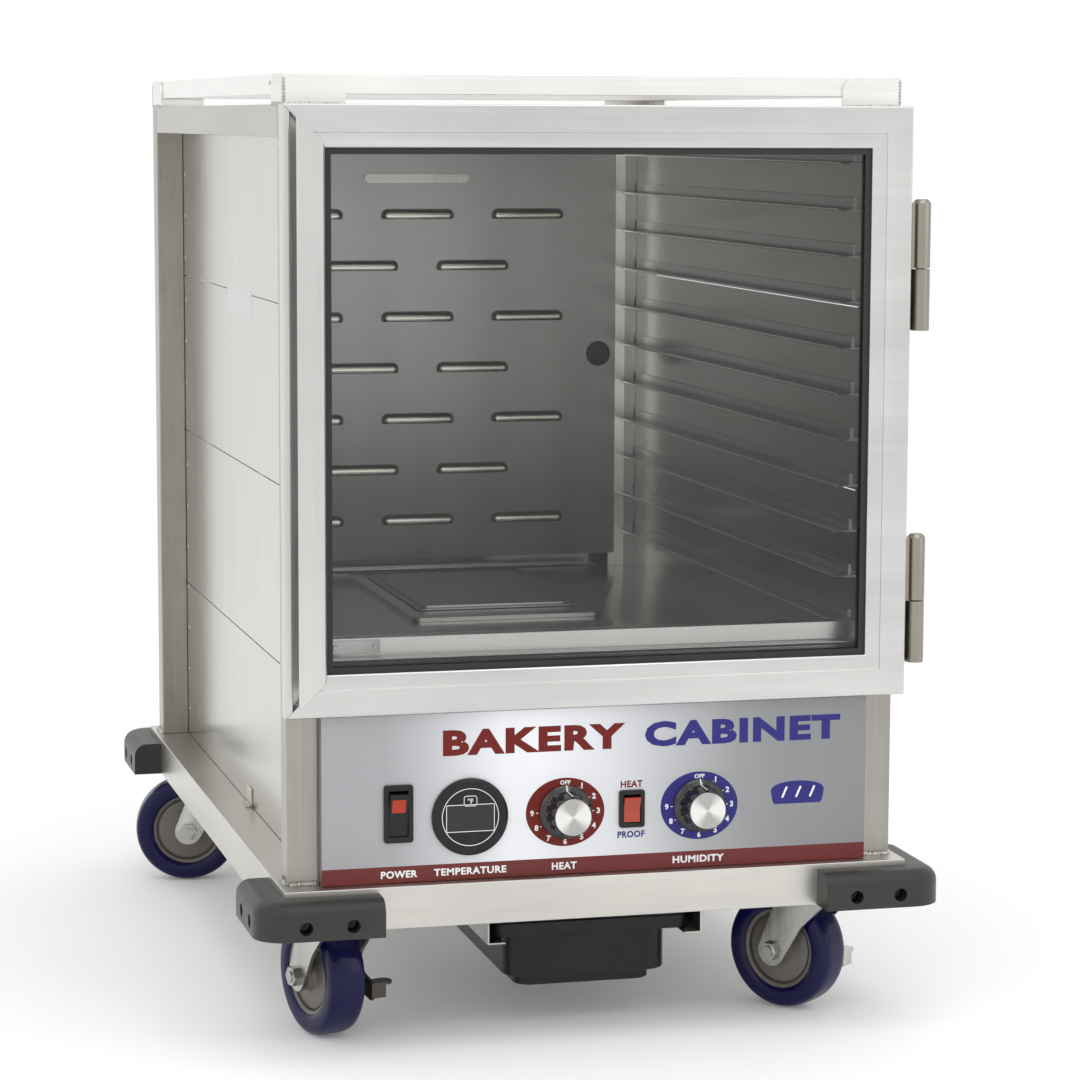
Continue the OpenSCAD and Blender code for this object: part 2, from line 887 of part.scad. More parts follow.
// Knob with a skirt, fluted grip and shaft.
module knob(x) {
  translate([x, ov_y - 0.7, ctl_z])
    rotate([90, 0, 0])
      union() {
        cylinder(h = 2, d = knob_d);
        translate([0, 0, 2])
          cylinder(h = 2, d1 = knob_d, d2 = knob_d - 4);
        translate([0, 0, 4])
          linear_extrude(height = 19)
            difference() {
              circle(d = 35);
              for (i = [0:knob_flutes - 1])
                rotate(i * 360 / knob_flutes + 180 / knob_flutes)
                  translate([19, 0])
                    circle(d = 5.4);
            }
        translate([0, 0, -18])
          cylinder(h = 18, d = 6);
      }
}

// Spun metal cap on a knob.
module cap(x) {
  translate([x, ov_y - 23.7, ctl_z])
    rotate([90, 0, 0]) {
      cylinder(h = 1, d = 30);
      translate([0, 0, 1])
        cylinder(h = 0.6, d1 = 30, d2 = 28.6);
    }
}

module heat_knob() {
  color([0.05, 0.05, 0.05])
    knob(heat_x);
}

module heat_cap() {
  color([0.85, 0.84, 0.8])
    cap(heat_x);
}

module humidity_knob() {
  color([0.05, 0.05, 0.05])
    knob(humid_x);
}

module humidity_cap() {
  color([0.85, 0.84, 0.8])
    cap(humid_x);
}

// Lift-off cover over the water opening: raised plate with a locating rim below.
module pan_cover() {
  z = floor_z + 4;
  color([0.45, 0.44, 0.42])
    translate([pan_c[0], pan_c[1], 0]) {
      translate([0, 0, z + 0.3])
        linear_extrude(height = 1.5)
          soft_rect(150, 234, 6);
      translate([0, 0, z + 1.8])
        linear_extrude(height = 2.2)
          soft_rect(138, 222, 5);
      translate([0, 0, z - 3])
        linear_extrude(height = 3.3)
          difference() {
            soft_rect(128, 212, 5);
            soft_rect(125, 209, 3.5);
          }
    }
}

// Black drip pan hung by its rim on the rails.
module drip_pan() {
  l = 265;
  yc = yf + 8 + l / 2;
  color([0.05, 0.05, 0.05])
    translate([0, yc, 0])
      difference() {
        union() {
          translate([0, 0, 36])
            linear_extrude(height = 10)
              soft_rect(116, l - 46, 14);
          translate([0, 0, 46])
            linear_extrude(height = 40)
              soft_rect(138, l - 24, 18);
          translate([0, 0, 83])
            linear_extrude(height = 12)
              soft_rect(164, l, 8);
        }
        translate([0, 0, 38.5])
          linear_extrude(height = 60)
            soft_rect(111, l - 51, 11.5);
        translate([0, 0, 48.5])
          linear_extrude(height = 60)
            soft_rect(133, l - 29, 15.5);
      }
}

// ---- casters ----

// One fork leg, seen from the side: from the crown down to the axle boss.
module leg_face() {
  union() {
    translate([trail, wheel_r])
      circle(r = 13);
    polygon([[-20, 113], [24, 113], [trail + 12.6, wheel_r + 3.4],
      [trail - 11.6, wheel_r - 6], [6, 74], [-20, 100]]);
  }
}

// Swivel fork with kingpin, axle bolt and nuts; far is how far the axle reaches on the pedal's side.
module fork(c, far) {
  color([0.7, 0.7, 0.66])
    translate([c[0], c[1], 0])
      rotate([0, 0, c[2]]) {
        rod([0, 0, 113], "z", base_top - 19.6 - 113, 58);
        rod([0, 0, 113], "z", 10, 14);
        for (s = [-1, 1])
          translate([0, s * 22.5 + 1.5, 0])
            rotate([90, 0, 0])
              linear_extrude(height = 3)
                leg_face();
        span([-20, -24, 110], [24, 24, 113]);
        rod([trail, -far, wheel_r], "y", far + 31, 9.6);
        for (y = [-far + 0.5, 24])
          translate([trail, y, wheel_r])
            rotate([-90, 0, 0])
              cylinder(h = 5.5, d = 17, $fn = 6);
      }
}

// Wheel hub: rim, web and bored boss.
module hub(c) {
  color([0.45, 0.42, 0.38])
    translate([c[0], c[1], 0])
      rotate([0, 0, c[2]])
        translate([trail, 0, wheel_r])
          rotate([90, 0, 0])
            difference() {
              union() {
                cylinder(h = tyre_w - 4, r = hub_r, center = true);
                cylinder(h = 41, d = 26, center = true);
              }
              for (s = [-1, 1])
                translate([0, 0, s * (tyre_w / 2 - 2)])
                  difference() {
                    cylinder(h = 8, r = hub_r - 4, center = true);
                    cylinder(h = 12, d = 26, center = true);
                  }
              cylinder(h = 60, d = 10.3, center = true);
            }
}

// Tyre with crowned tread.
module tyre(c) {
  w = tyre_w / 2;
  color([0.03, 0.02, 0.3])
    translate([c[0], c[1], 0])
      rotate([0, 0, c[2]])
        translate([trail, 0, wheel_r])
          rotate([90, 0, 0])
            rotate_extrude($fn = 96)
              polygon([[hub_r, -w + 2], [hub_r + 1, -w], [wheel_r - 7, -w], [wheel_r - 3, -w + 2],
                [wheel_r - 0.8, -w + 6], [wheel_r, -w + 11], [wheel_r, w - 11], [wheel_r - 0.8, w - 6],
                [wheel_r - 3, w - 2], [wheel_r - 7, w], [hub_r + 1, w], [hub_r, w - 2]]);
}

// Side brake lever on the axle bolt: arm beside the fork leg, foot tab bent outwards.
module pedal(c) {
  y = -24.6;
  color([0.5, 0.5, 0.48])
    translate([c[0], c[1], 0])
      rotate([0, 0, c[2]])
        difference() {
          union() {
            translate([0, y, 0])
              rotate([90, 0, 0])
                linear_extrude(height = 3) {
                  translate([trail, wheel_r])
                    circle(r = 13);
                  polygon([[trail + 3, wheel_r + 12.6], [trail + 3, wheel_r - 12.6], [14, 36],
                    [-3, 32], [-6, 35], [-6, 47], [8, 51]]);
                }
            span([-6, y - 9, 44.4], [8, y - 1, 47]);
            translate([1, y - 9, 44.4])
              cylinder(h = 2.6, r = 7);
            translate([1, y - 14, 44.4])
              cylinder(h = 2.6, r = 7);
            span([-6, y - 14, 44.4], [8, y - 8, 47]);
            span([-6, y - 13, 34], [-3.6, y - 1, 45]);
          }
          rod([trail, y - 5, wheel_r], "y", 7, 10.3);
        }
}

module fork_fl() { fork(caster_fl, 34); }
module fork_fr() { fork(caster_fr, 34); }
module fork_rl() { fork(caster_rl, 31); }
module fork_rr() { fork(caster_rr, 31); }
module hub_fl() { hub(caster_fl); }
module hub_fr() { hub(caster_fr); }
module hub_rl() { hub(caster_rl); }
module hub_rr() { hub(caster_rr); }
module tyre_fl() { tyre(caster_fl); }
module tyre_fr() { tyre(caster_fr); }
module tyre_rl() { tyre(caster_rl); }
module tyre_rr() { tyre(caster_rr); }
module pedal_fl() { pedal(caster_fl); }
module pedal_fr() { pedal(caster_fr); }

base_rails();
caster_mounts();
corner_posts();
top_rails();
guard_rails();
corner_gussets();
side_planks();
rear_panel();
top_panel();
floor_panel();
duct_panel();
hole_plug();
tray_racks();
sill();
sill_plate();
hinge_lower();
bumpers();
bumper_screws();
drip_rails();
module_runners();
post_rivets();
door_frame();
pull_stile();
door_glass();
glazing_gasket();
door_seal();
hinge_upper();
fascia();
overlay();
chassis();
heating_element();
water_pan();
fan_housing();
switch_bezels();
thermometer();
control_bodies();
power_inlet();
fan_wheel();
power_rocker();
mode_rocker();
heat_knob();
heat_cap();
humidity_knob();
humidity_cap();
pan_cover();
drip_pan();
fork_fl();
hub_fl();
tyre_fl();
pedal_fl();
fork_fr();
hub_fr();
tyre_fr();
pedal_fr();
fork_rl();
hub_rl();
tyre_rl();
fork_rr();
hub_rr();
tyre_rr();
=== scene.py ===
"""Looks of an under-counter proofing cabinet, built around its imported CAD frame."""

import json
import logging
import math
from dataclasses import dataclass
from enum import Enum
from typing import Any, Sequence

import bmesh
import bpy
import numpy as np
from mathutils import Matrix, Vector

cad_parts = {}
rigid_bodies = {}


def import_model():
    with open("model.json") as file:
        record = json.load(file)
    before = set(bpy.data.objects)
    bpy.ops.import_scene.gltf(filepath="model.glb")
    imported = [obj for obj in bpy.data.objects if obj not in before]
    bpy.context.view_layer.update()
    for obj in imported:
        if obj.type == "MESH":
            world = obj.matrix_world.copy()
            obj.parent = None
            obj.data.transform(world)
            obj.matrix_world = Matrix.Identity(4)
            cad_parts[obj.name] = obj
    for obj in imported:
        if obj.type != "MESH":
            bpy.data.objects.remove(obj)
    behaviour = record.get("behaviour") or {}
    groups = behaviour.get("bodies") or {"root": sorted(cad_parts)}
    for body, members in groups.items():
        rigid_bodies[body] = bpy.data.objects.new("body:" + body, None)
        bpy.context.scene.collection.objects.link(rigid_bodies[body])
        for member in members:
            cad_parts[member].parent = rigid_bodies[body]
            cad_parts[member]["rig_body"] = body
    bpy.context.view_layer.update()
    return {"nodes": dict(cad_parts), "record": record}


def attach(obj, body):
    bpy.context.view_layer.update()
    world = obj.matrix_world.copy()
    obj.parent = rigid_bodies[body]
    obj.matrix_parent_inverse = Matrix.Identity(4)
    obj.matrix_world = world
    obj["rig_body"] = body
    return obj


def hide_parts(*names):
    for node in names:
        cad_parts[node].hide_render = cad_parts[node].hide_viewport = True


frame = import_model()
NODES: dict[str, bpy.types.Object] = frame["nodes"]
LOG = logging.getLogger("proofing_cabinet")
MM = 0.001
Array = np.ndarray
Colour = tuple[float, float, float]


class Axis(Enum):
    """The way that the drawing lines of a metal run; ROUND is level on every side."""

    X = 0
    Y = 1
    Z = 2
    ROUND = 3

    def stretched(self, fine: float, coarse: float) -> list[float]:
        """Noise scales with the coarse one along the lines.

        Args:
            fine: cells per metre across the lines.
            coarse: cells per metre along them.

        Returns:
            The scales along X, Y and Z.
        """
        along = (0, 1) if self is Axis.ROUND else (self.value,)
        return [coarse if i in along else fine for i in range(3)]


# ---------------------------------------------------------------- shaders


class Value:
    """A shader socket whose Python operators add the matching Math nodes."""

    def __init__(self, paint: "Paint", socket: bpy.types.NodeSocket) -> None:
        """Wraps a socket.

        Args:
            paint: the material that the socket belongs to.
            socket: the output socket.
        """
        self.paint = paint
        self.socket = socket

    def __add__(self, other: Any) -> "Value":
        """Sum."""
        return self.paint.math("ADD", self, other)

    __radd__ = __add__

    def __sub__(self, other: Any) -> "Value":
        """Difference."""
        return self.paint.math("SUBTRACT", self, other)

    def __rsub__(self, other: Any) -> "Value":
        """Difference from a number."""
        return self.paint.math("SUBTRACT", other, self)

    def __mul__(self, other: Any) -> "Value":
        """Product."""
        return self.paint.math("MULTIPLY", self, other)

    __rmul__ = __mul__

    def __truediv__(self, other: Any) -> "Value":
        """Quotient."""
        return self.paint.math("DIVIDE", self, other)

    def __rtruediv__(self, other: Any) -> "Value":
        """Quotient of a number by this."""
        return self.paint.math("DIVIDE", other, self)

    def __pow__(self, other: Any) -> "Value":
        """Power."""
        return self.paint.math("POWER", self, other)

    def __abs__(self) -> "Value":
        """Size without sign."""
        return self.paint.math("ABSOLUTE", self)

    def __gt__(self, other: Any) -> "Value":
        """1 where this is above the other."""
        return self.paint.math("GREATER_THAN", self, other)

    def __lt__(self, other: Any) -> "Value":
        """1 where this is below the other."""
        return self.paint.math("LESS_THAN", self, other)

    def sine(self) -> "Value":
        """Sine of this in radians."""
        return self.paint.math("SINE", self)

    def clamp(self) -> "Value":
        """This held between 0 and 1."""
        return self.paint.math("ADD", self, 0.0, clamp=True)


class Paint:
    """One material under construction."""

    def __init__(self, name: str) -> None:
        """Starts an empty node material.

        Args:
            name: the material's name.
        """
        self.material = bpy.data.materials.new(name)
        self.material.use_nodes = True
        self.tree = self.material.node_tree
        self.tree.nodes.clear()

    def node(self, kind: str, settings: dict | None = None, values: dict | None = None) -> bpy.types.Node:
        """Adds any node.

        Args:
            kind: the node's type.
            settings: attributes set first; "stops" fills a colour ramp.
            values: numbers, colours or Values for its sockets, by name or index.

        Returns:
            The node.
        """
        made = self.tree.nodes.new(kind)
        for key, value in (settings or {}).items():
            if key == "stops":
                while len(made.color_ramp.elements) < len(value):
                    made.color_ramp.elements.new(0.5)
                for element, (place, colour) in zip(made.color_ramp.elements, value):
                    element.position = place
                    element.color = (*colour, 1.0)
            else:
                setattr(made, key, value)
        for key, value in (values or {}).items():
            if isinstance(value, Value):
                self.tree.links.new(value.socket, made.inputs[key])
            elif isinstance(value, tuple) and len(value) == 3 and made.inputs[key].type == "RGBA":
                made.inputs[key].default_value = (*value, 1.0)
            else:
                made.inputs[key].default_value = value
        return made

    def math(self, operation: str, *terms: Any, clamp: bool = False) -> Value:
        """A Math node.

        Args:
            operation: its operation.
            terms: its inputs in order.
            clamp: whether the result is held between 0 and 1.

        Returns:
            The result.
        """
        settings = {"operation": operation, "use_clamp": clamp}
        made = self.node("ShaderNodeMath", settings, dict(enumerate(terms)))
        return Value(self, made.outputs[0])

    def position(self) -> Value:
        """The point on the piece in the row frame, in metres."""
        return Value(self, self.node("ShaderNodeTexCoord").outputs["Object"])

    def parts(self) -> tuple[Value, Value, Value]:
        """The position's X, Y and Z."""
        split = self.node("ShaderNodeSeparateXYZ", values={0: self.position()})
        return tuple(Value(self, split.outputs[i]) for i in range(3))

    def noise(
        self, scale: Sequence[float], detail: float = 3.0, rough: float = 0.55, seed: float = 0.0
    ) -> Value:
        """Noise from 0 to 1.

        Args:
            scale: cells per metre along X, Y and Z.
            detail: number of octaves.
            rough: weight of the fine octaves.
            seed: a shift, so that two patterns differ.

        Returns:
            The noise.
        """
        placed = self.node(
            "ShaderNodeMapping",
            values={
                "Vector": self.position(),
                "Scale": tuple(scale),
                "Location": (seed, seed * 1.7, seed * 0.3),
            },
        )
        made = self.node(
            "ShaderNodeTexNoise",
            values={
                "Vector": Value(self, placed.outputs[0]),
                "Scale": 1.0,
                "Detail": detail,
                "Roughness": rough,
            },
        )
        return Value(self, made.outputs["Fac"])

    def mix(self, share: Any, first: Any, second: Any) -> Value:
        """A colour between two colours.

        Args:
            share: how much of the second.
            first: a colour.
            second: a colour.

        Returns:
            The mixed colour.
        """
        made = self.node("ShaderNodeMix", {"data_type": "RGBA"}, {0: share, 6: first, 7: second})
        return Value(self, made.outputs[2])

    def ramp(self, value: Value, stops: Sequence[tuple[float, Colour]]) -> Value:
        """A colour that follows a value through stops."""
        made = self.node("ShaderNodeValToRGB", {"stops": stops}, {0: value})
        return Value(self, made.outputs[0])

    def bump(self, height: Value, distance: float, strength: float = 1.0) -> Value:
        """A normal tilted by a height.

        Args:
            height: the height, from 0 to 1.
            distance: metres for a height of 1.
            strength: share of the effect.

        Returns:
            The normal.
        """
        values = {"Height": height, "Distance": distance, "Strength": strength}
        made = self.node("ShaderNodeBump", values=values)
        return Value(self, made.outputs[0])

    def shader(self, **values: Any) -> bpy.types.NodeSocket:
        """A Principled shader; underscores in names stand for spaces."""
        named = {key.replace("_", " "): value for key, value in values.items()}
        made = self.node("ShaderNodeBsdfPrincipled", values=named)
        return made.outputs[0]

    def done(self, shader: bpy.types.NodeSocket) -> bpy.types.Material:
        """Plugs the shader into the output and gives the material."""
        out = self.node("ShaderNodeOutputMaterial")
        self.tree.links.new(shader, out.inputs[0])
        return self.material


@dataclass(frozen=True)
class MilledMetal:
    """Sheet or extrusion with drawing lines, dull patches, small handling marks and, where set, painted
    highlights.
    """

    name: str
    tone: Colour
    lines: Axis = Axis.Z
    rough: float = 0.36
    mottle: float = 0.12
    line_depth: float = 0.00001
    fine: float = 700.0
    dark: float = 0.72
    # share of a painted highlight on faces whose normal lies level
    painted_highlight: float = 0.0
    # half width in metres across inside which the colour is a painted highlight
    painted_highlight_inside: float = 0.0

    def build(self) -> bpy.types.Material:
        """Makes the material: long noise for lines, wide noise for patches, thresholded noise for marks.

        Faces whose normal lies level get a painted highlight in the share that its setting gives, and
        whatever lies nearer the middle across than a set width in metres gets a painted highlight too.
        """
        paint = Paint(self.name)
        lines = paint.noise(self.lines.stretched(self.fine, self.fine / 90), 2.0)
        bands = paint.noise(self.lines.stretched(26.0, 3.0), 3.0, seed=4.0)
        patch = paint.noise((7.0, 7.0, 7.0), 5.0, 0.6, seed=9.0)
        marks = ((paint.noise((150.0, 150.0, 150.0), 2.0, seed=2.0) - 0.66) * 9.0).clamp()
        low = tuple(c * self.dark for c in self.tone)
        shade = (0.5 + (bands - 0.5) * 1.5 + (patch - 0.5) * 1.2 + (lines - 0.5) * 0.8).clamp()
        base = paint.mix(marks * 0.35, paint.mix(shade, low, self.tone), low)
        # painted highlight: faces whose normal lies level are mixed towards a pale colour
        if self.painted_highlight:
            turn = paint.node("ShaderNodeNewGeometry").outputs["Normal"]
            up = Value(paint, paint.node("ShaderNodeSeparateXYZ", values={0: Value(paint, turn)}).outputs[2])
            base = paint.mix((1 - abs(up)) * self.painted_highlight, base, (0.97, 0.94, 0.88))
        # painted highlight: what lies nearer the middle across than the set width turns pale
        if self.painted_highlight_inside:
            base = paint.mix(abs(paint.parts()[0]) < self.painted_highlight_inside, base, (0.97, 0.94, 0.88))
        rough = self.rough + (patch - 0.5) * self.mottle * 1.6 + (lines - 0.5) * self.mottle
        return paint.done(
            paint.shader(
                Base_Color=base,
                Metallic=1.0,
                Roughness=rough.clamp(),
                Normal=paint.bump(lines, self.line_depth),
            )
        )


@dataclass(frozen=True)
class Moulded:
    """Moulded plastic or rubber with a fine grain and slightly lighter patches of wear."""

    name: str
    tone: Colour
    rough: float = 0.5
    grain: float = 0.00003
    cells: float = 1400.0
    wear: float = 0.25
    coat: float = 0.0
    gloss: float = 0.5

    def build(self) -> bpy.types.Material:
        """Makes the material: fine grain in the bump, wide noise in the colour and roughness."""
        paint = Paint(self.name)
        grain = paint.noise([self.cells] * 3, 2.0)
        patch = paint.noise((22.0, 22.0, 22.0), 5.0, 0.65, seed=3.0)
        light = tuple(min(1.0, c * (1 + self.wear) + 0.012 * self.wear) for c in self.tone)
        base = paint.mix((patch * 1.6 - 0.3).clamp(), self.tone, light)
        rough = self.rough + (patch - 0.5) * 0.18 + (grain - 0.5) * 0.06
        return paint.done(
            paint.shader(
                Base_Color=base,
                Roughness=rough.clamp(),
                Specular_IOR_Level=self.gloss,
                Coat_Weight=self.coat,
                Coat_Roughness=0.12,
                Normal=paint.bump(grain, self.grain),
            )
        )


@dataclass(frozen=True)
class DuctSheet:
    """Dulled sheet of the duct panel, with a painted highlight where the louver hoods and the pressed slot
    stand out, and painted shade towards the bottom.
    """

    name: str
    tone: Colour = (0.54, 0.505, 0.49)
    # colour of the painted highlight on the hoods and the slot
    painted_highlight: Colour = (0.96, 0.91, 0.82)
    face_y: float = 0.3158

    def build(self) -> bpy.types.Material:
        """Makes the material: a painted highlight follows the height off the sheet and painted shade darkens
        it towards the bottom, with long soft upright bands.
        """
        paint = Paint(self.name)
        x, y, z = paint.parts()
        # painted highlight: share of the pale colour, by the height off the sheet
        proud = ((self.face_y - y) / 0.0035).clamp()
        bands = paint.noise((9.0, 9.0, 1.2), 2.0, seed=6.0)
        fine = paint.noise((420.0, 420.0, 6.0), 2.0)
        marks = ((paint.noise((60.0, 60.0, 60.0), 3.0, seed=2.0) - 0.64) * 5.0).clamp()
        # painted shade: the sheet darkens from mid height downwards to 0.42 of its tone
        low = tuple(c * 0.42 for c in self.tone)
        shade = (0.5 + (bands - 0.5) * 0.9 + (fine - 0.5) * 0.06 + (z - 0.5) * 2.2).clamp()
        base = paint.mix(marks * 0.12, paint.mix(shade, low, self.tone), low)
        rough = 0.3 + (bands - 0.5) * 0.1 + (fine - 0.5) * 0.02 - proud * 0.08
        return paint.done(
            paint.shader(
                Base_Color=paint.mix(proud, base, self.painted_highlight),
                Metallic=1.0,
                Roughness=rough.clamp(),
                Normal=paint.bump(fine, 0.000002),
            )
        )


@dataclass(frozen=True)
class SpunFace:
    """Metal face turned on a lathe: fine rings round an axis along Y, with a painted bow-tie reflection."""

    name: str
    centre: tuple[float, float]
    tone: Colour = (0.82, 0.81, 0.78)

    def build(self) -> bpy.types.Material:
        """Makes the material: ring height is the sine of the distance; a painted bow-tie reflection follows
        the cosine of twice the turn.
        """
        paint = Paint(self.name)
        x, _, z = paint.parts()
        dx, dz = x - self.centre[0], z - self.centre[1]
        far = (dx * dx + dz * dz) ** 0.5
        rings = (far * 9000.0).sine() * 0.5 + 0.5
        fade = paint.noise((400.0, 400.0, 400.0), 3.0)
        # painted reflection: light and dark sectors by twice the angle round the centre
        fan = (dx * dx - dz * dz + dx * dz * 0.6) / (dx * dx + dz * dz + 0.000002)
        painted_sheen = paint.mix((fan * 0.8 + 0.5).clamp(), tuple(c * 0.5 for c in self.tone), self.tone)
        base = paint.mix(rings * 0.35, painted_sheen, tuple(c * 0.7 for c in self.tone))
        return paint.done(
            paint.shader(
                Base_Color=base,
                Metallic=1.0,
                Roughness=0.2 + fade * 0.12,
                Normal=paint.bump(rings, 0.00005, 0.8),
            )
        )


@dataclass(frozen=True)
class Pane:
    """Thin clear glass that mirrors more at a slant and carries a faint film."""

    name: str
    film: float = 0.03

    def build(self) -> bpy.types.Material:
        """Makes the material: clear and glossy shaders mixed by Fresnel and a smear pattern."""
        paint = Paint(self.name)
        smear = paint.noise((9.0, 9.0, 14.0), 4.0)
        fresnel = Value(paint, paint.node("ShaderNodeFresnel", values={"IOR": 1.45}).outputs[0])
        share = (fresnel * 0.75 + self.film * (0.4 + smear)).clamp()
        clear = paint.node("ShaderNodeBsdfTransparent", values={0: (0.93, 0.94, 0.94)}).outputs[0]
        gloss = paint.shader(Base_Color=(0.35, 0.36, 0.37), Metallic=1.0, Roughness=0.04 + smear * 0.03)
        mixed = paint.node("ShaderNodeMixShader", values={0: share})
        paint.tree.links.new(clear, mixed.inputs[1])
        paint.tree.links.new(gloss, mixed.inputs[2])
        return paint.done(mixed.outputs[0])


@dataclass(frozen=True)
class PrintedSheet:
    """Silver print on the control panel with a painted reflection: a soft light band left of the middle, and
    a red foot stripe.
    """

    name: str
    stripe_top: float = 0.152

    def build(self) -> bpy.types.Material:
        """Makes the material: the silver with its painted reflection band follows stops across the width, the
        stripe is a step in height.
        """
        paint = Paint(self.name)
        x, _, z = paint.parts()
        brushed = paint.noise((6.0, 6.0, 1800.0), 2.0)
        across = (x + 0.23) / 0.46 + (z - 0.2) * 0.12 + (brushed - 0.5) * 0.02
        # painted reflection: the silver rises to a light band left of the middle and falls darker to the
        # right
        grey = [(0.05, 0.36), (0.12, 0.37), (0.2, 0.50), (0.33, 0.80), (0.40, 0.83), (0.5, 0.72)]
        grey += [(0.62, 0.51), (0.76, 0.31), (0.84, 0.26), (1.0, 0.24)]
        stops = [(place, (g * 0.985, g, g * 1.035)) for place, g in grey]
        base = paint.ramp(across.clamp(), stops)
        red = paint.mix(brushed * 0.3, (0.135, 0.006, 0.005), (0.11, 0.005, 0.004))
        low = z < self.stripe_top
        return paint.done(
            paint.shader(
                Base_Color=paint.mix(low, base, red),
                Metallic=0.25 * (1 - low),
                Roughness=0.34 + (brushed - 0.5) * 0.1,
                Normal=paint.bump(brushed, 0.000006),
            )
        )


@dataclass(frozen=True)
class Ink:
    """Screen print: even colour with a slightly uneven film."""

    name: str
    tone: Colour
    glow: float = 0.0

    def build(self) -> bpy.types.Material:
        """Makes the material: fine noise in the film's colour and gloss."""
        paint = Paint(self.name)
        film = paint.noise((900.0, 900.0, 900.0), 2.0)
        base = paint.mix(film * 0.3, self.tone, tuple(c * 0.8 for c in self.tone))
        return paint.done(
            paint.shader(
                Base_Color=base,
                Roughness=0.38 + film * 0.15,
                Specular_IOR_Level=0.25,
                Emission_Color=(*self.tone, 1.0),
                Emission_Strength=self.glow,
            )
        )


# ---------------------------------------------------------------- shapes


def grid_faces(rows: int, cols: int, wrap_rows: bool = False, wrap_cols: bool = False) -> Array:
    """Quads over a grid of points numbered row by row.

    Args:
        rows: number of rows.
        cols: number of points in a row.
        wrap_rows: whether the last row joins the first.
        wrap_cols: whether each row's last point joins its first.

    Returns:
        An array of four indices a face.
    """
    r = np.arange(rows if wrap_rows else rows - 1)[:, None]
    c = np.arange(cols if wrap_cols else cols - 1)[None, :]
    r2, c2 = (r + 1) % rows, (c + 1) % cols
    quads = np.stack([r * cols + c, r * cols + c2, r2 * cols + c2, r2 * cols + c], -1)
    return quads.reshape(-1, 4)


def revolved(profile: Sequence[tuple[float, float]], steps: int = 64) -> tuple[Array, Array]:
    """Surface of revolution: the point at turn t is (r cos t, r sin t, h) for each (r, h).

    Args:
        profile: radius and height pairs in millimetres.
        steps: divisions round the axis.

    Returns:
        Points about the Z axis in millimetres, and faces.
    """
    line = np.asarray(profile, float)
    turn = np.linspace(0, 2 * math.pi, steps, endpoint=False)[None, :]
    r, h = line[:, 0:1], line[:, 1:2]
    points = np.stack([r * np.cos(turn), r * np.sin(turn), h + 0 * turn], -1)
    return points.reshape(-1, 3), grid_faces(len(line), steps, wrap_cols=True)


def swept(path: Array, profile: Array, size: Array, up: Sequence[float] = (0, 0, 1)) -> tuple[Array, Array]:
    """Closed profile carried along a path: point = path + size * (a * side + b * up').

    Args:
        path: (n, 3) points in millimetres.
        profile: (m, 2) closed outline, across and up.
        size: (n,) scale of the outline at each point.
        up: direction that the outline's second axis leans to.

    Returns:
        Points in millimetres and faces, with both ends drawn to a point.
    """
    along = np.gradient(path, axis=0)
    along /= np.linalg.norm(along, axis=1, keepdims=True)
    side = np.cross(along, np.asarray(up, float))
    side /= np.linalg.norm(side, axis=1, keepdims=True)
    top = np.cross(side, along)
    scaled = profile[None, :, :] * size[:, None, None]
    points = path[:, None, :] + scaled[..., 0:1] * side[:, None, :] + scaled[..., 1:2] * top[:, None, :]
    return points.reshape(-1, 3), grid_faces(len(path), len(profile), wrap_cols=True)


def turned(points: Array, axis: str, degrees: float) -> Array:
    """Points turned about X, Y or Z by the usual rotation matrix.

    Args:
        points: (n, 3) points.
        axis: "x", "y" or "z".
        degrees: the angle.

    Returns:
        The turned points.
    """
    c, s = math.cos(math.radians(degrees)), math.sin(math.radians(degrees))
    matrix = {
        "x": [[1, 0, 0], [0, c, -s], [0, s, c]],
        "y": [[c, 0, s], [0, 1, 0], [-s, 0, c]],
        "z": [[c, -s, 0], [s, c, 0], [0, 0, 1]],
    }[axis]
    return points @ np.array(matrix, float).T


def joined(pieces: Sequence[tuple[Array, Array]]) -> tuple[Array, Array]:
    """Several shapes as one, with the faces renumbered.

    Args:
        pieces: points and faces of each.

    Returns:
        All points and all faces.
    """
    shifts = np.cumsum([0] + [len(p) for p, _ in pieces[:-1]])
    faces = np.concatenate([f + shift for (_, f), shift in zip(pieces, shifts)])
    return np.concatenate([p for p, _ in pieces]), faces


def slab(outline: Array, low: float, high: float) -> tuple[Array, Array]:
    """Flat closed plate: the outline (x, z) at two depths in Y, closed to its middle.

    Args:
        outline: (n, 2) points in order.
        low: nearer Y.
        high: farther Y.

    Returns:
        Points in millimetres and faces.
    """
    middle = outline.mean(0, keepdims=True)
    rings = [middle + 0 * outline, outline, outline, middle + 0 * outline]
    points = np.concatenate(
        [np.stack([r[:, 0], np.full(len(r), y), r[:, 1]], -1) for r, y in zip(rings, (low, low, high, high))]
    )
    return points, grid_faces(4, len(outline), wrap_cols=True)


def band(outer: Array, inner: Array, low: float, high: float) -> tuple[Array, Array]:
    """Flat closed ring between two outlines (x, z) with the same number of points.

    Args:
        outer: (n, 2) outer outline.
        inner: (n, 2) inner outline.
        low: nearer Y.
        high: farther Y.

    Returns:
        Points in millimetres and faces.
    """
    loops = [(inner, low), (outer, low), (outer, high), (inner, high)]
    points = np.concatenate([np.stack([r[:, 0], np.full(len(r), y), r[:, 1]], -1) for r, y in loops])
    return points, grid_faces(4, len(outer), wrap_rows=True, wrap_cols=True)


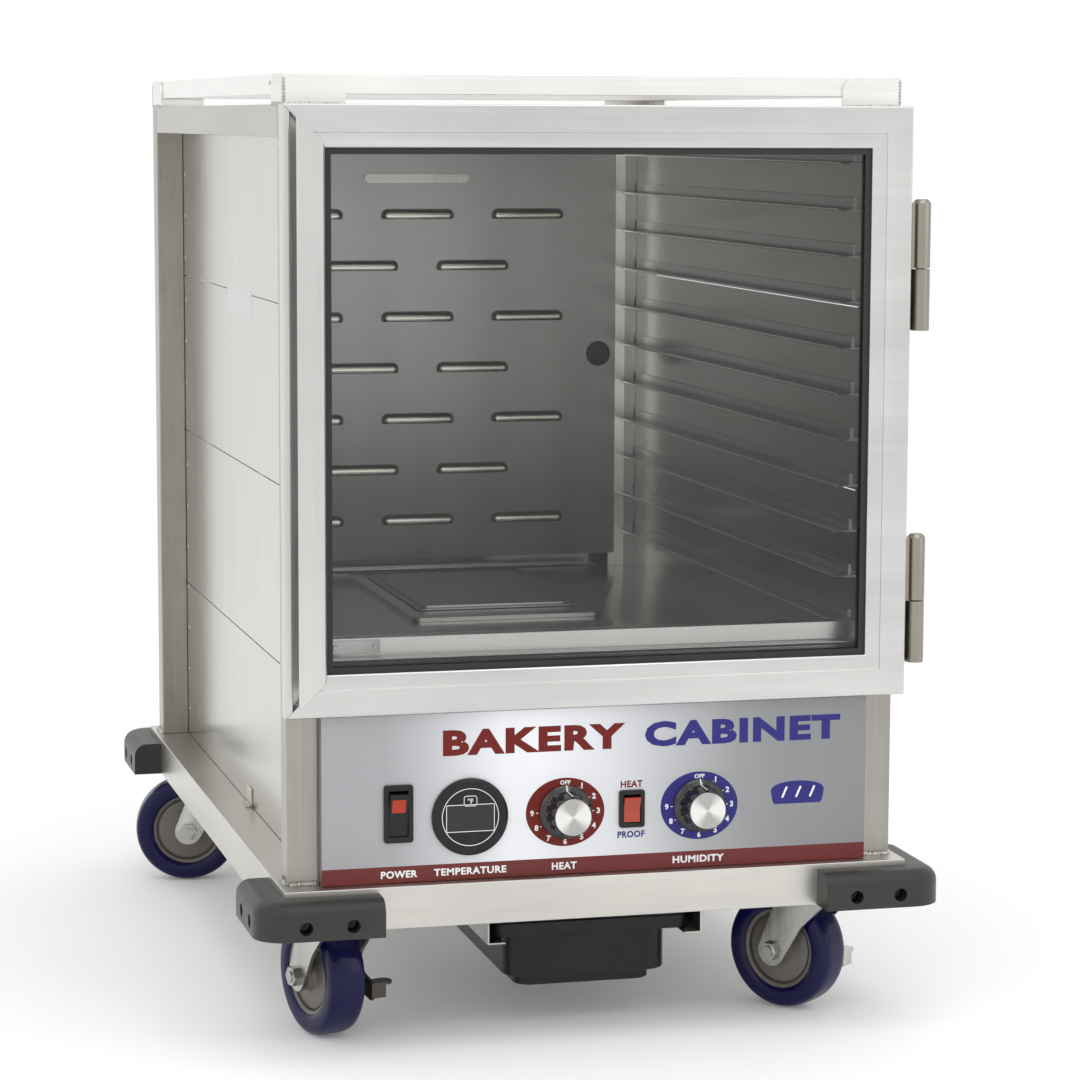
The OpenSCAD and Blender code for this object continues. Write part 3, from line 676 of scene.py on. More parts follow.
def rounded_box(cx: float, cz: float, w: float, h: float, r: float, steps: int = 6) -> Array:
    """Outline of a rectangle with round corners, anticlockwise.

    Args:
        cx: centre across.
        cz: centre up.
        w: width.
        h: height.
        r: corner radius.
        steps: points a corner.

    Returns:
        (4 * steps, 2) points.
    """
    quarter = np.linspace(0, math.pi / 2, steps)
    turn = (quarter[None, :] + np.arange(4)[:, None] * math.pi / 2).ravel()
    sx = np.repeat([1, -1, -1, 1], steps) * (w / 2 - r)
    sz = np.repeat([1, 1, -1, -1], steps) * (h / 2 - r)
    return np.stack([cx + sx + r * np.cos(turn), cz + sz + r * np.sin(turn)], -1)


def oval(cx: float, cz: float, rx: float, rz: float, steps: int = 72) -> Array:
    """Outline of an ellipse: (cx + rx cos t, cz + rz sin t)."""
    turn = np.linspace(0, 2 * math.pi, steps, endpoint=False)
    return np.stack([cx + rx * np.cos(turn), cz + rz * np.sin(turn)], -1)


def shade_by_angle(mesh: bpy.types.Mesh, degrees: float) -> None:
    """Smooth shading with sharp edges past an angle."""
    mesh.polygons.foreach_set("use_smooth", np.ones(len(mesh.polygons), bool))
    mesh.set_sharp_from_angle(angle=math.radians(degrees))


def placed(
    name: str,
    mesh: bpy.types.Mesh,
    finish: bpy.types.Material,
    body: str,
    slot: str,
    stands_for: Sequence[str] = (),
) -> bpy.types.Object:
    """Puts a finished mesh in the scene on its body.

    Args:
        name: the piece's name.
        mesh: its mesh, in metres in the row frame.
        finish: its material.
        body: the CAD body it moves with.
        slot: the record's material slot; not used.
        stands_for: CAD nodes that it replaces.

    Returns:
        The object.
    """
    mesh.materials.clear()
    mesh.materials.append(finish)
    piece = bpy.data.objects.new(name, mesh)
    bpy.context.scene.collection.objects.link(piece)
    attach(piece, body)
    if stands_for:
        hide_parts(*stands_for)
    LOG.info("%s: %d faces on %s", name, len(mesh.polygons), body)
    return piece


def shaped(
    name: str,
    shape: tuple[Array, Array],
    finish: bpy.types.Material,
    body: str,
    slot: str,
    stands_for: Sequence[str] = (),
    sharp: float = 35.0,
) -> bpy.types.Object:
    """A new closed piece from points in millimetres, merged, with its faces turned outwards.

    Args:
        name: the piece's name.
        shape: points and faces.
        finish: its material.
        body: the CAD body it moves with.
        slot: the record's material slot.
        stands_for: CAD nodes that it replaces.
        sharp: edges past this many degrees stay sharp.

    Returns:
        The object.
    """
    mesh = bpy.data.meshes.new(name)
    mesh.from_pydata((shape[0] * MM).tolist(), [], shape[1].tolist())
    work = bmesh.new()
    work.from_mesh(mesh)
    bmesh.ops.remove_doubles(work, verts=work.verts, dist=1e-7)
    bmesh.ops.dissolve_degenerate(work, edges=work.edges, dist=1e-8)
    bmesh.ops.recalc_face_normals(work, faces=work.faces)
    work.to_mesh(mesh)
    work.free()
    shade_by_angle(mesh, sharp)
    return placed(name, mesh, finish, body, slot, stands_for)


def eased(
    node: str, finish: bpy.types.Material, width: float, segments: int = 2, angle: float = 28.0
) -> bpy.types.Object:
    """Copy of a CAD node with its edges eased, standing for the node.

    Args:
        node: the CAD node.
        finish: its material.
        width: width of the edge break in millimetres.
        segments: divisions of the edge break.
        angle: edges past this many degrees are eased.

    Returns:
        The new piece.
    """
    source = NODES[node]
    body, slot = source["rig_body"], SLOTS[node]
    mesh = source.data.copy()
    work = bmesh.new()
    work.from_mesh(mesh)
    bmesh.ops.remove_doubles(work, verts=work.verts, dist=2e-6)
    bmesh.ops.dissolve_limit(work, angle_limit=math.radians(0.6), verts=work.verts, edges=work.edges)
    work.to_mesh(mesh)
    work.free()
    shade_by_angle(mesh, angle)
    piece = placed(node + "_finished", mesh, finish, body, slot, (node,))
    bevel = piece.modifiers.new("eased", "BEVEL")
    bevel.width = width * MM
    bevel.segments = segments
    bevel.limit_method = "ANGLE"
    bevel.angle_limit = math.radians(angle)
    bevel.harden_normals = True
    bevel.use_clamp_overlap = True
    return piece


def lettering(
    name: str,
    text: str,
    x: float,
    z: float,
    height: float,
    width: float,
    y: float,
    finish: bpy.types.Material,
    body: str,
    bold: float = 0.0,
) -> bpy.types.Object:
    """Raised print of a word in the plain built-in face, centred on a point of the panel.

    Args:
        name: the piece's name.
        text: the word or figure.
        x: centre across, in millimetres.
        z: centre up, in millimetres.
        height: capital height in millimetres.
        width: total width in millimetres, or 0 for the face's own.
        y: the panel's surface in millimetres.
        finish: its material.
        body: the CAD body it moves with.
        bold: how much the strokes are thickened, as a share of the height.

    Returns:
        The object.
    """
    curve = bpy.data.curves.new(name, "FONT")
    curve.body = text
    curve.extrude = 0.01
    curve.offset = bold
    curve.space_character = 1.0 + bold * 2.6
    curve.resolution_u = 3
    writer = bpy.data.objects.new(name, curve)
    bpy.context.scene.collection.objects.link(writer)
    bpy.context.view_layer.update()
    mesh = bpy.data.meshes.new_from_object(writer)
    bpy.data.objects.remove(writer)
    points = np.zeros(len(mesh.vertices) * 3)
    mesh.vertices.foreach_get("co", points)
    points = points.reshape(-1, 3)
    low, high = points.min(0), points.max(0)
    scale_up = height / (high[1] - low[1])
    scale_across = width / (high[0] - low[0]) if width else scale_up
    flat = (points - (low + high) / 2) * np.array([scale_across, scale_up, 1.0])
    moved = np.stack([x + flat[:, 0], y - 0.06 - np.sign(flat[:, 2]) * 0.05, z + flat[:, 1]], -1) * MM
    mesh.vertices.foreach_set("co", moved.ravel())
    work = bmesh.new()
    work.from_mesh(mesh)
    bmesh.ops.remove_doubles(work, verts=work.verts, dist=1e-7)
    bmesh.ops.recalc_face_normals(work, faces=work.faces)
    work.to_mesh(mesh)
    work.free()
    return placed(name, mesh, finish, body, "printed_overlay")


SLOTS: dict[str, str] = {part["node"]: part["material_slot"] for part in frame["record"]["subparts"]}
PANEL_Y = -369.4


def dressed(finish: bpy.types.Material, *names: str) -> None:
    """Gives CAD nodes that keep their own shape a finish.

    Args:
        finish: the material.
        names: the nodes.
    """
    for name in names:
        mesh = NODES[name].data
        mesh.materials.clear()
        mesh.materials.append(finish)
        LOG.info("%s: dressed", name)


def domes(places: Array, radius: float, height: float, side: int) -> tuple[Array, Array]:
    """Low domes pointing along X: height falls as the square of the distance from the middle.

    Args:
        places: (n, 3) centres of the feet in millimetres.
        radius: foot radius.
        height: height of the crown.
        side: -1 or 1, the way that they point.

    Returns:
        Points and faces.
    """
    r = np.linspace(0, 1, 5)
    profile = [(radius * a, height * (1 - a * a) + 0.12) for a in r] + [(radius, -0.3), (0, -0.3)]
    points, faces = revolved(profile, 14)
    dome = turned(points, "y", 90.0 * side)
    return joined([(dome + place, faces) for place in places])


def bead(start: Sequence[float], end: Sequence[float], radius: float, seed: int) -> tuple[Array, Array]:
    """Weld bead: a round profile along a straight path, its size rippling as a sine of the length run.

    Args:
        start: first end in millimetres.
        end: last end in millimetres.
        radius: mean radius.
        seed: start of the uneven part.

    Returns:
        Points and faces.
    """
    first, last = np.asarray(start, float), np.asarray(end, float)
    length = float(np.linalg.norm(last - first))
    run = np.linspace(0, 1, max(24, int(length * 1.6)))
    wander = np.random.default_rng(seed).normal(0, 0.12 * radius, (len(run), 3))
    path = first + (last - first) * run[:, None] + wander * np.array([0.3, 0.3, 1.0])
    taper = np.clip(np.minimum(run, 1 - run) * 14, 0, 1) ** 0.5
    size = radius * (1 + 0.2 * np.sin(run * length * 2.4)) * taper
    turn = np.linspace(0, 2 * math.pi, 8, endpoint=False)
    up = (0, 0, 1) if abs(last[2] - first[2]) < 1 else (0, 1, 0)
    return swept(path, np.stack([np.cos(turn), np.sin(turn)], -1), size, up)


@dataclass
class Finishes:
    """Every finish of the cabinet, made once."""

    def __post_init__(self) -> None:
        """Builds the materials."""
        pale, bright, satin = (0.41, 0.395, 0.36), (0.66, 0.645, 0.60), (0.64, 0.635, 0.62)
        self.upright = MilledMetal("aluminium_upright", pale, Axis.Z, 0.3, 0.14).build()
        self.rail = MilledMetal("aluminium_rail", (0.48, 0.465, 0.43), Axis.ROUND, 0.26, 0.1).build()
        self.level = MilledMetal("aluminium_level", bright, Axis.ROUND, 0.34, 0.1, dark=0.8).build()
        self.plate = MilledMetal(
            "aluminium_plate", (0.90, 0.89, 0.85), Axis.ROUND, 0.4, 0.1, dark=0.8
        ).build()
        self.skin = MilledMetal(
            "aluminium_skin", (0.55, 0.535, 0.495), Axis.Z, 0.2, 0.05, 0.000004, fine=300.0, dark=0.9
        ).build()
        self.bar = MilledMetal("aluminium_bar", (0.93, 0.925, 0.90), Axis.ROUND, 0.3, 0.08, dark=0.85).build()
        self.door = MilledMetal(
            "aluminium_door", satin, Axis.Z, 0.3, 0.08, 0.000005, fine=900.0, dark=0.8
        ).build()
        self.door_level = MilledMetal(
            "aluminium_door_level", (0.66, 0.66, 0.645), Axis.ROUND, 0.3, 0.08, 0.000005, fine=900.0, dark=0.8
        ).build()
        self.cavity = DuctSheet("cavity_sheet").build()
        # the cavity floor and the cover get a painted highlight on their upright faces
        self.cavity_floor = MilledMetal(
            "cavity_floor", (0.40, 0.375, 0.365), Axis.Y, 0.2, 0.06, 0.000003, 300.0, 0.85, painted_highlight=0.9
        ).build()
        self.cover = MilledMetal(
            "cover_sheet", (0.36, 0.34, 0.335), Axis.Y, 0.3, 0.06, 0.000003, 300.0, 0.85, painted_highlight=1.0
        ).build()
        # the slides get a painted highlight on their inner edges
        self.slides = MilledMetal(
            "slide_metal", (0.55, 0.52, 0.50), Axis.Y, 0.22, 0.06, 0.000003, dark=0.85, painted_highlight_inside=0.2162
        ).build()
        self.sill = MilledMetal(
            "sill_metal", (0.78, 0.75, 0.72), Axis.X, 0.3, 0.06, 0.000003, dark=0.85
        ).build()
        self.zinc = MilledMetal(
            "zinc_plate", (0.60, 0.60, 0.57), Axis.Z, 0.28, 0.16, fine=260.0, dark=0.6
        ).build()
        self.weld = MilledMetal(
            "weld_metal", (0.62, 0.61, 0.57), Axis.X, 0.32, 0.2, 0.00006, 500.0, 0.5
        ).build()
        self.pewter = MilledMetal("hinge_pewter", (0.37, 0.34, 0.29), Axis.Z, 0.32, 0.12, dark=0.75).build()
        self.dark_steel = MilledMetal("dark_steel", (0.12, 0.11, 0.10), Axis.Z, 0.5, 0.2, dark=0.6).build()
        self.pan_steel = MilledMetal("pan_steel", (0.62, 0.62, 0.61), Axis.Y, 0.28, 0.1).build()
        self.black = Moulded("black_plastic", (0.009, 0.009, 0.010), 0.34, 0.00001, 2400.0, gloss=0.3).build()
        self.knob = Moulded("knob_black", (0.010, 0.010, 0.011), 0.22, 0.000004, 2400.0, coat=0.4).build()
        self.rubber = Moulded("seal_rubber", (0.012, 0.012, 0.012), 0.6).build()
        self.bumper = Moulded(
            "bumper_rubber", (0.021, 0.020, 0.019), 0.4, 0.00005, 1100.0, 0.5, gloss=0.36
        ).build()
        self.tyre = Moulded(
            "tyre_blue", (0.0035, 0.0025, 0.042), 0.34, 0.000006, 600.0, 0.3, 0.35, gloss=0.08
        ).build()
        self.hub = Moulded("hub_grey", (0.115, 0.102, 0.090), 0.38, 0.00002, 1200.0, 0.3).build()
        self.pan = Moulded("pan_black", (0.004, 0.004, 0.004), 0.3, 0.000012, 900.0, 0.5, gloss=0.3).build()
        self.red_key = Moulded(
            "key_red", (0.36, 0.035, 0.010), 0.28, 0.000004, 1500.0, 0.15, coat=0.3
        ).build()
        self.lamp = Ink("lamp_red", (0.42, 0.045, 0.02), 0.06).build()
        self.lcd = Moulded(
            "display_glass", (0.011, 0.0115, 0.012), 0.16, 0.000001, 900.0, 0.2, 0.3, gloss=0.3
        ).build()
        self.white_ink = Ink("ink_white", (0.86, 0.86, 0.86)).build()
        self.red_ink = Ink("ink_red", (0.155, 0.011, 0.008)).build()
        self.blue_ink = Ink("ink_blue", (0.029, 0.026, 0.19)).build()
        self.label = Ink("label_blank", (0.62, 0.62, 0.62)).build()
        self.print = PrintedSheet("panel_print").build()
        self.glass = Pane("door_pane").build()


@dataclass
class Body:
    """Rails, posts, skins, guard rails and everything fixed to them."""

    half_w: float = 255.0
    half_d: float = 358.0
    post: float = 25.4
    deck: float = 138.0
    top: float = 758.0
    rivet_pitch: float = 40.6
    rivet_count: int = 14
    skin_x: float = 229.6
    label_y: tuple[float, float] = (-60.0, 68.0)
    label_z: tuple[float, float] = (573.5, 598.0)

    def build(self, f: Finishes) -> None:
        """Dresses the frame and adds its welds, rivets and blank label."""
        eased("base_rails", f.level, 0.7)
        eased("corner_posts", f.upright, 1.2, 3)
        eased("top_rails", f.rail, 1.2, 3)
        eased("guard_rails", f.bar, 0.5)
        eased("corner_gussets", f.plate, 0.5)
        eased("side_planks", f.skin, 0.12, 1)
        dressed(f.skin, "rear_panel", "top_panel")
        dressed(f.zinc, "module_runners")
        eased("drip_rails", f.zinc, 0.4)
        eased("bumpers", f.bumper, 1.4, 3)
        dressed(f.dark_steel, "bumper_screws")
        eased("caster_mounts", f.zinc, 0.6)
        self.welds(f)
        self.rivets(f)
        self.label(f)

    def welds(self, f: Finishes) -> None:
        """Beads round the posts' feet and under the gussets, at every corner."""
        beads = []
        for i, (sx, sy) in enumerate([(-1, -1), (1, -1), (-1, 1), (1, 1)]):
            x, y = sx * self.half_w, sy * self.half_d
            inner_x, inner_y = x - sx * self.post, y - sy * self.post
            foot, head = self.deck + 0.8, self.top + 0.4
            beads.append(bead((x - sx, y + sy * 0.6, foot), (inner_x, y + sy * 0.6, foot), 2.3, i))
            beads.append(bead((x + sx * 0.6, y - sy, foot), (x + sx * 0.6, inner_y, foot), 2.3, 10 + i))
            beads.append(bead((x - sx * 2, y, head), (x - sx * 48, y, head), 1.3, 20 + i))
            beads.append(bead((x, y - sy * 2, head), (x, y - sy * 48, head), 1.3, 30 + i))
            foot = (x - sx * 1, y - sy * 1)
            beads.append(bead((*foot, head), (*foot, head + 22), 1.5, 40 + i))
        beads.append(bead((-self.skin_x - 2.4, -47, 139.4), (-self.skin_x - 2.4, -25, 139.4), 2.6, 50))
        beads.append(bead((self.skin_x + 2.4, -47, 139.4), (self.skin_x + 2.4, -25, 139.4), 2.6, 51))
        shaped("weld_beads", joined(beads), f.weld, "cabinet", SLOTS["corner_posts"])

    def rivets(self, f: Finishes) -> None:
        """Domed rivets in rows beside the posts, and round head screws in the front posts."""
        z = self.deck + 27 + np.arange(self.rivet_count) * self.rivet_pitch
        y = self.half_d - self.post - 12
        pieces = []
        for side in (-1, 1):
            rows = [np.stack([0 * z + side * self.skin_x, 0 * z + sy * y, z], -1) for sy in (-1, 1)]
            pieces.append(domes(np.concatenate(rows), 2.5, 1.0, side))
            heights = (726.6,) if side > 0 else (306.0, 726.6)
            ends = np.array([[side * self.half_w, 18 - self.half_d, height] for height in heights])
            pieces.append(domes(ends, 3.0, 1.2, side))
        shaped("rivet_heads", joined(pieces), f.zinc, "cabinet", SLOTS["post_rivets"], ("post_rivets",), 50.0)

    def label(self, f: Finishes) -> None:
        """Blank paper label on the left skin."""
        (y0, y1), (z0, z1) = self.label_y, self.label_z
        outline = rounded_box((y0 + y1) / 2, (z0 + z1) / 2, y1 - y0, z1 - z0, 1.5, 4)
        points, faces = slab(outline, 0.0, 0.12)
        moved = np.stack([-self.skin_x - points[:, 1], points[:, 0], points[:, 2]], -1)
        shaped("blank_label", (moved, faces), f.label, "cabinet", SLOTS["overlay"])


@dataclass
class Door:
    """Framed glass door, its seal and both halves of the hinges."""

    def build(self, f: Finishes) -> None:
        """Dresses the door."""
        eased("door_frame", f.door_level, 0.5)
        eased("pull_stile", f.door, 0.6)
        eased("hinge_upper", f.pewter, 0.6)
        eased("hinge_lower", f.pewter, 0.6)
        dressed(f.glass, "door_glass")
        dressed(f.rubber, "glazing_gasket", "door_seal")


@dataclass
class Cavity:
    """Inside of the cabinet: duct panel, slides, floor, sill and the lift-off cover."""

    def build(self, f: Finishes) -> None:
        """Dresses the cavity."""
        eased("duct_panel", f.cavity, 0.25, 1)
        eased("tray_racks", f.slides, 0.3)
        eased("floor_panel", f.cavity_floor, 1.2)
        eased("pan_cover", f.cover, 0.9)
        eased("sill", f.sill, 0.5)
        eased("sill_plate", f.zinc, 0.3)
        eased("hole_plug", f.black, 0.5)


@dataclass
class Knob:
    """Fluted knob with a skirt, a pointer line and a spun cap."""

    name: str
    x: float
    body: str
    z: float = 190.0
    skirt: float = 22.0
    grip: float = 17.5
    flutes: int = 12
    depth: float = 1.9
    back: float = 0.7
    reach: float = 23.0

    def outline(self) -> Array:
        """Radius and distance from the panel of the knob's side, from its back to its face."""
        edge = self.skirt
        lip = [(0.0, 0.0), (edge - 0.4, 0.0), (edge, 0.5), (edge, 1.7), (edge - 0.9, 2.6)]
        slope = [(self.grip + 2.6, 3.6), (self.grip + 0.8, 4.2), (self.grip, 5.4)]
        side = [(self.grip - 0.1 * i, 6.0 + 2.6 * i) for i in range(6)]
        face = [(self.grip - 0.7, 21.6), (self.grip - 1.4, 22.6)]
        face += [(self.grip - 2.6, self.reach), (0.0, self.reach)]
        return np.array(lip + slope + side + face)

    def placed_points(self, points: Array) -> Array:
        """Points about Z, with height away from the panel, put on the panel facing -Y."""
        y = PANEL_Y - self.back - points[:, 2]
        return np.stack([self.x + points[:, 0], y, self.z + points[:, 1]], -1)

    def build(self, f: Finishes) -> None:
        """Makes the body (radius less a power of a cosine of the turn), the pointer and the cap."""
        line = self.outline()
        turn = np.linspace(0, 2 * math.pi, 180, endpoint=False)[None, :]
        r, h = line[:, 0:1], line[:, 1:2]
        fluted = np.clip((h - 4.0) / 2.5, 0, 1) * (r > 1)
        cut = self.depth * fluted * np.clip(np.cos(turn * self.flutes), 0, 1) ** 1.4
        radius = r - cut
        points = np.stack([radius * np.cos(turn), radius * np.sin(turn), h + 0 * turn], -1).reshape(-1, 3)
        shaft, shaft_faces = revolved([(0, -18), (3, -18), (3, 0.2), (0, 0.2)], 24)
        body = joined([(points, grid_faces(len(line), 180, wrap_cols=True)), (shaft, shaft_faces)])
        node = self.name + "_knob"
        moved = (self.placed_points(body[0]), body[1])
        shaped(node + "_body", moved, f.knob, self.body, SLOTS[node], (node,), 40.0)
        self.pointer(f, line)
        self.cap(f)

    def pointer(self, f: Finishes, line: Array) -> None:
        """White line that follows the knob's outline at the top, half a flute wide."""
        run = line[3:15] + np.array([0.12, 0.12])
        across = np.array([-0.45, 0.45])
        sides = np.repeat(across[None], len(run), 0)
        top = np.stack([sides, np.repeat(run[:, 0:1], 2, 1), np.repeat(run[:, 1:2], 2, 1)], -1)
        under = top - np.array([0, 0.3, 0.3])
        ring = np.concatenate([top, under[:, ::-1]], 1)
        first = ring[:1].mean(1, keepdims=True).repeat(4, 1)
        last = ring[-1:].mean(1, keepdims=True).repeat(4, 1)
        ends = np.concatenate([first, ring, last])
        shape = (self.placed_points(ends.reshape(-1, 3)), grid_faces(len(ends), 4, wrap_cols=True))
        shaped(self.name + "_pointer", shape, f.white_ink, self.body, SLOTS["overlay"])

    def cap(self, f: Finishes) -> None:
        """Spun metal cap, slightly dished."""
        r = np.linspace(0, 1, 12)
        face = [(14.2 * a, self.reach + 1.25 + 0.25 * a**4) for a in r]
        reach = self.reach
        profile = face + [(14.7, reach + 1.35), (15.0, reach + 1.0), (15.0, reach), (0.0, reach)]
        points, faces = revolved(profile, 96)
        node = self.name + "_cap"
        finish = SpunFace(node + "_spun", (self.x * MM, self.z * MM)).build()
        moved = (self.placed_points(points), faces)
        shaped(node + "_disc", moved, finish, self.body, SLOTS[node], (node,), 30.0)


@dataclass
class Dial:
    """Printed dial behind a knob: a coloured oval, a scale of figures and their ticks."""

    name: str
    x: float
    z: float = 189.8
    rx: float = 33.0
    rz: float = 28.2
    step: float = 30.0

    def build(self, f: Finishes, colour: bpy.types.Material) -> None:
        """Makes the oval, then each figure at (x + a sin t, z + b cos t) and its tick nearer the knob."""
        body, slot = "heater_module", SLOTS["overlay"]
        disc = slab(oval(self.x, self.z, self.rx, self.rz), PANEL_Y - 0.05, PANEL_Y)
        shaped(self.name + "_oval", disc, colour, body, slot)
        ticks = []
        for i, word in enumerate(["OFF", *"123456789"]):
            t = math.radians(i * self.step)
            a, b = self.rx - 5.2, self.rz - 3.9
            x, z = self.x + a * math.sin(t), self.z + b * math.cos(t)
            high = 3.6 if i == 0 else 4.8
            lettering(f"{self.name}_mark_{i}", word, x, z, high, 0, PANEL_Y - 0.05, f.white_ink, body, 0.04)
            spoke = np.array([math.sin(t), math.cos(t)])
            across = np.array([spoke[1], -spoke[0]]) * 0.35
            near, far = spoke * 22.6, spoke * 24.4 * np.array([1.0, 0.93])
            centre = np.array([self.x, self.z])
            quad = np.stack([near - across, near + across, far + across, far - across]) + centre
            if i:
                ticks.append(slab(quad, PANEL_Y - 0.11, PANEL_Y - 0.05))
        shaped(self.name + "_ticks", joined(ticks), f.white_ink, body, slot)


@dataclass
class ControlPanel:
    """Printed front of the heater module with its switches, thermometer and dials."""

    gauge: tuple[float, float] = (-108.0, 190.0)
    power: tuple[float, float] = (-166.7, 195.0)
    mode: tuple[float, float] = (27.6, 190.0)

    def build(self, f: Finishes) -> None:
        """Dresses the panel and adds its print."""
        eased("fascia", f.door_level, 0.5)
        dressed(f.print, "overlay")
        eased("switch_bezels", f.black, 0.6)
        eased("thermometer", f.black, 0.5, 3)
        eased("power_rocker", f.black, 0.5)
        eased("mode_rocker", f.red_key, 0.5)
        self.legends(f)
        self.gauge_print(f)
        self.lamp(f)
        self.badge(f)
        Dial("heat_dial", -28.3).build(f, f.red_ink)
        Dial("humidity_dial", 85.3).build(f, f.blue_ink)
        Knob("heat", -28.0, "heat_control").build(f)
        Knob("humidity", 85.2, "humidity_control").build(f)

    def legends(self, f: Finishes) -> None:
        """Generic words over and under the controls."""
        words = [
            ("POWER", -166.0, 145.4, 6.0, 30.0, f.white_ink),
            ("TEMPERATURE", -107.4, 145.4, 6.0, 60.0, f.white_ink),
            ("HEAT", -28.9, 145.4, 6.0, 21.0, f.white_ink),
            ("HUMIDITY", 85.0, 145.4, 6.0, 44.0, f.white_ink),
            ("HEAT", 27.6, 210.3, 5.6, 18.6, f.red_ink),
            ("PROOF", 27.4, 168.6, 5.6, 23.0, f.blue_ink),
            ("BAKERY", -54.0, 250.6, 21.0, 152.0, f.red_ink),
            ("CABINET", 122.5, 250.6, 21.0, 168.0, f.blue_ink),
        ]
        for i, (word, x, z, high, wide, ink) in enumerate(words):
            bold = 0.05 if high > 10 else 0.035
            name = f"legend_{i}_{word.lower()}"
            lettering(name, word, x, z, high, wide, PANEL_Y, ink, "heater_module", bold)

    def gauge_print(self, f: Finishes) -> None:
        """White ring, window outline and unit mark on the thermometer, and the window's pane."""
        (x, z), face = self.gauge, PANEL_Y - 3.2
        shapes = [
            band(oval(x, z, 23.6, 23.6), oval(x, z, 23.0, 23.0), face - 0.08, face),
            band(
                rounded_box(x, z - 0.75, 40.0, 22.4, 1.2),
                rounded_box(x, z - 0.75, 38.9, 21.3, 0.8),
                face - 0.08,
                face,
            ),
            band(
                rounded_box(x, z + 13.2, 11.0, 8.6, 2.0),
                rounded_box(x, z + 13.2, 10.0, 7.6, 1.6),
                face - 0.08,
                face,
            ),
        ]
        shaped("gauge_lines", joined(shapes), f.white_ink, "heater_module", SLOTS["overlay"])
        lettering("gauge_unit", "°F", x, z + 13.2, 4.2, 0, face, f.white_ink, "heater_module", 0.01)
        pane = slab(rounded_box(x, z - 0.75, 37.9, 20.4, 0.4), PANEL_Y - 2.9, PANEL_Y - 2.4)
        shaped("gauge_window", pane, f.lcd, "heater_module", SLOTS["thermometer"])

    def lamp(self, f: Finishes) -> None:
        """Red window let into the upper half of the power key, on the key's slope."""
        x, z = self.power
        points, faces = slab(rounded_box(0.0, 7.4, 11.2, 11.6, 0.6), -0.25, 0.3)
        slope = math.degrees(math.atan2(2.2, 17.6))
        tilted = turned(points, "x", slope) + np.array([0.0, -3.4, 0.0])
        key = turned(tilted, "x", 9.0) + np.array([x, PANEL_Y + 2.0, z])
        shaped("power_lamp", (key, faces), f.lamp, "power_switch", SLOTS["mode_rocker"])

    def badge(self, f: Finishes) -> None:
        """Plain loaf sign: a round-topped outline with three light cuts."""
        t = np.linspace(0, math.pi, 30)
        top = np.stack([170 + 23 * np.cos(t), 198 + 8.5 * np.sin(t) ** 0.8], -1)
        foot = np.array([[148.5, 190.0], [150.0, 187.5], [190.0, 187.5], [191.5, 190.0]])
        loaf = slab(np.concatenate([top, foot]), PANEL_Y - 0.05, PANEL_Y)
        shaped("loaf_sign", loaf, f.blue_ink, "heater_module", SLOTS["overlay"])
        cuts = []
        for x in (156.0, 168.0, 180.0):
            cut = np.array([[x, 193.0], [x + 1.6, 192.4], [x + 5.6, 201.4], [x + 4.0, 202.0]])
            cuts.append(slab(cut, PANEL_Y - 0.1, PANEL_Y - 0.05))
        shaped("loaf_cuts", joined(cuts), f.white_ink, "heater_module", SLOTS["overlay"])


@dataclass
class ModuleInside:
    """Chassis of the heater module and what it carries."""

    def build(self, f: Finishes) -> None:
        """Dresses the inside of the module."""
        eased("chassis", f.zinc, 0.3, 1)
        eased("heating_element", f.dark_steel, 0.3, 1, 40.0)
        eased("water_pan", f.pan_steel, 1.0)
        eased("fan_housing", f.black, 0.5, 1)
        eased("fan_wheel", f.black, 0.3, 1)
        eased("control_bodies", f.black, 0.6)
        eased("power_inlet", f.black, 0.6)


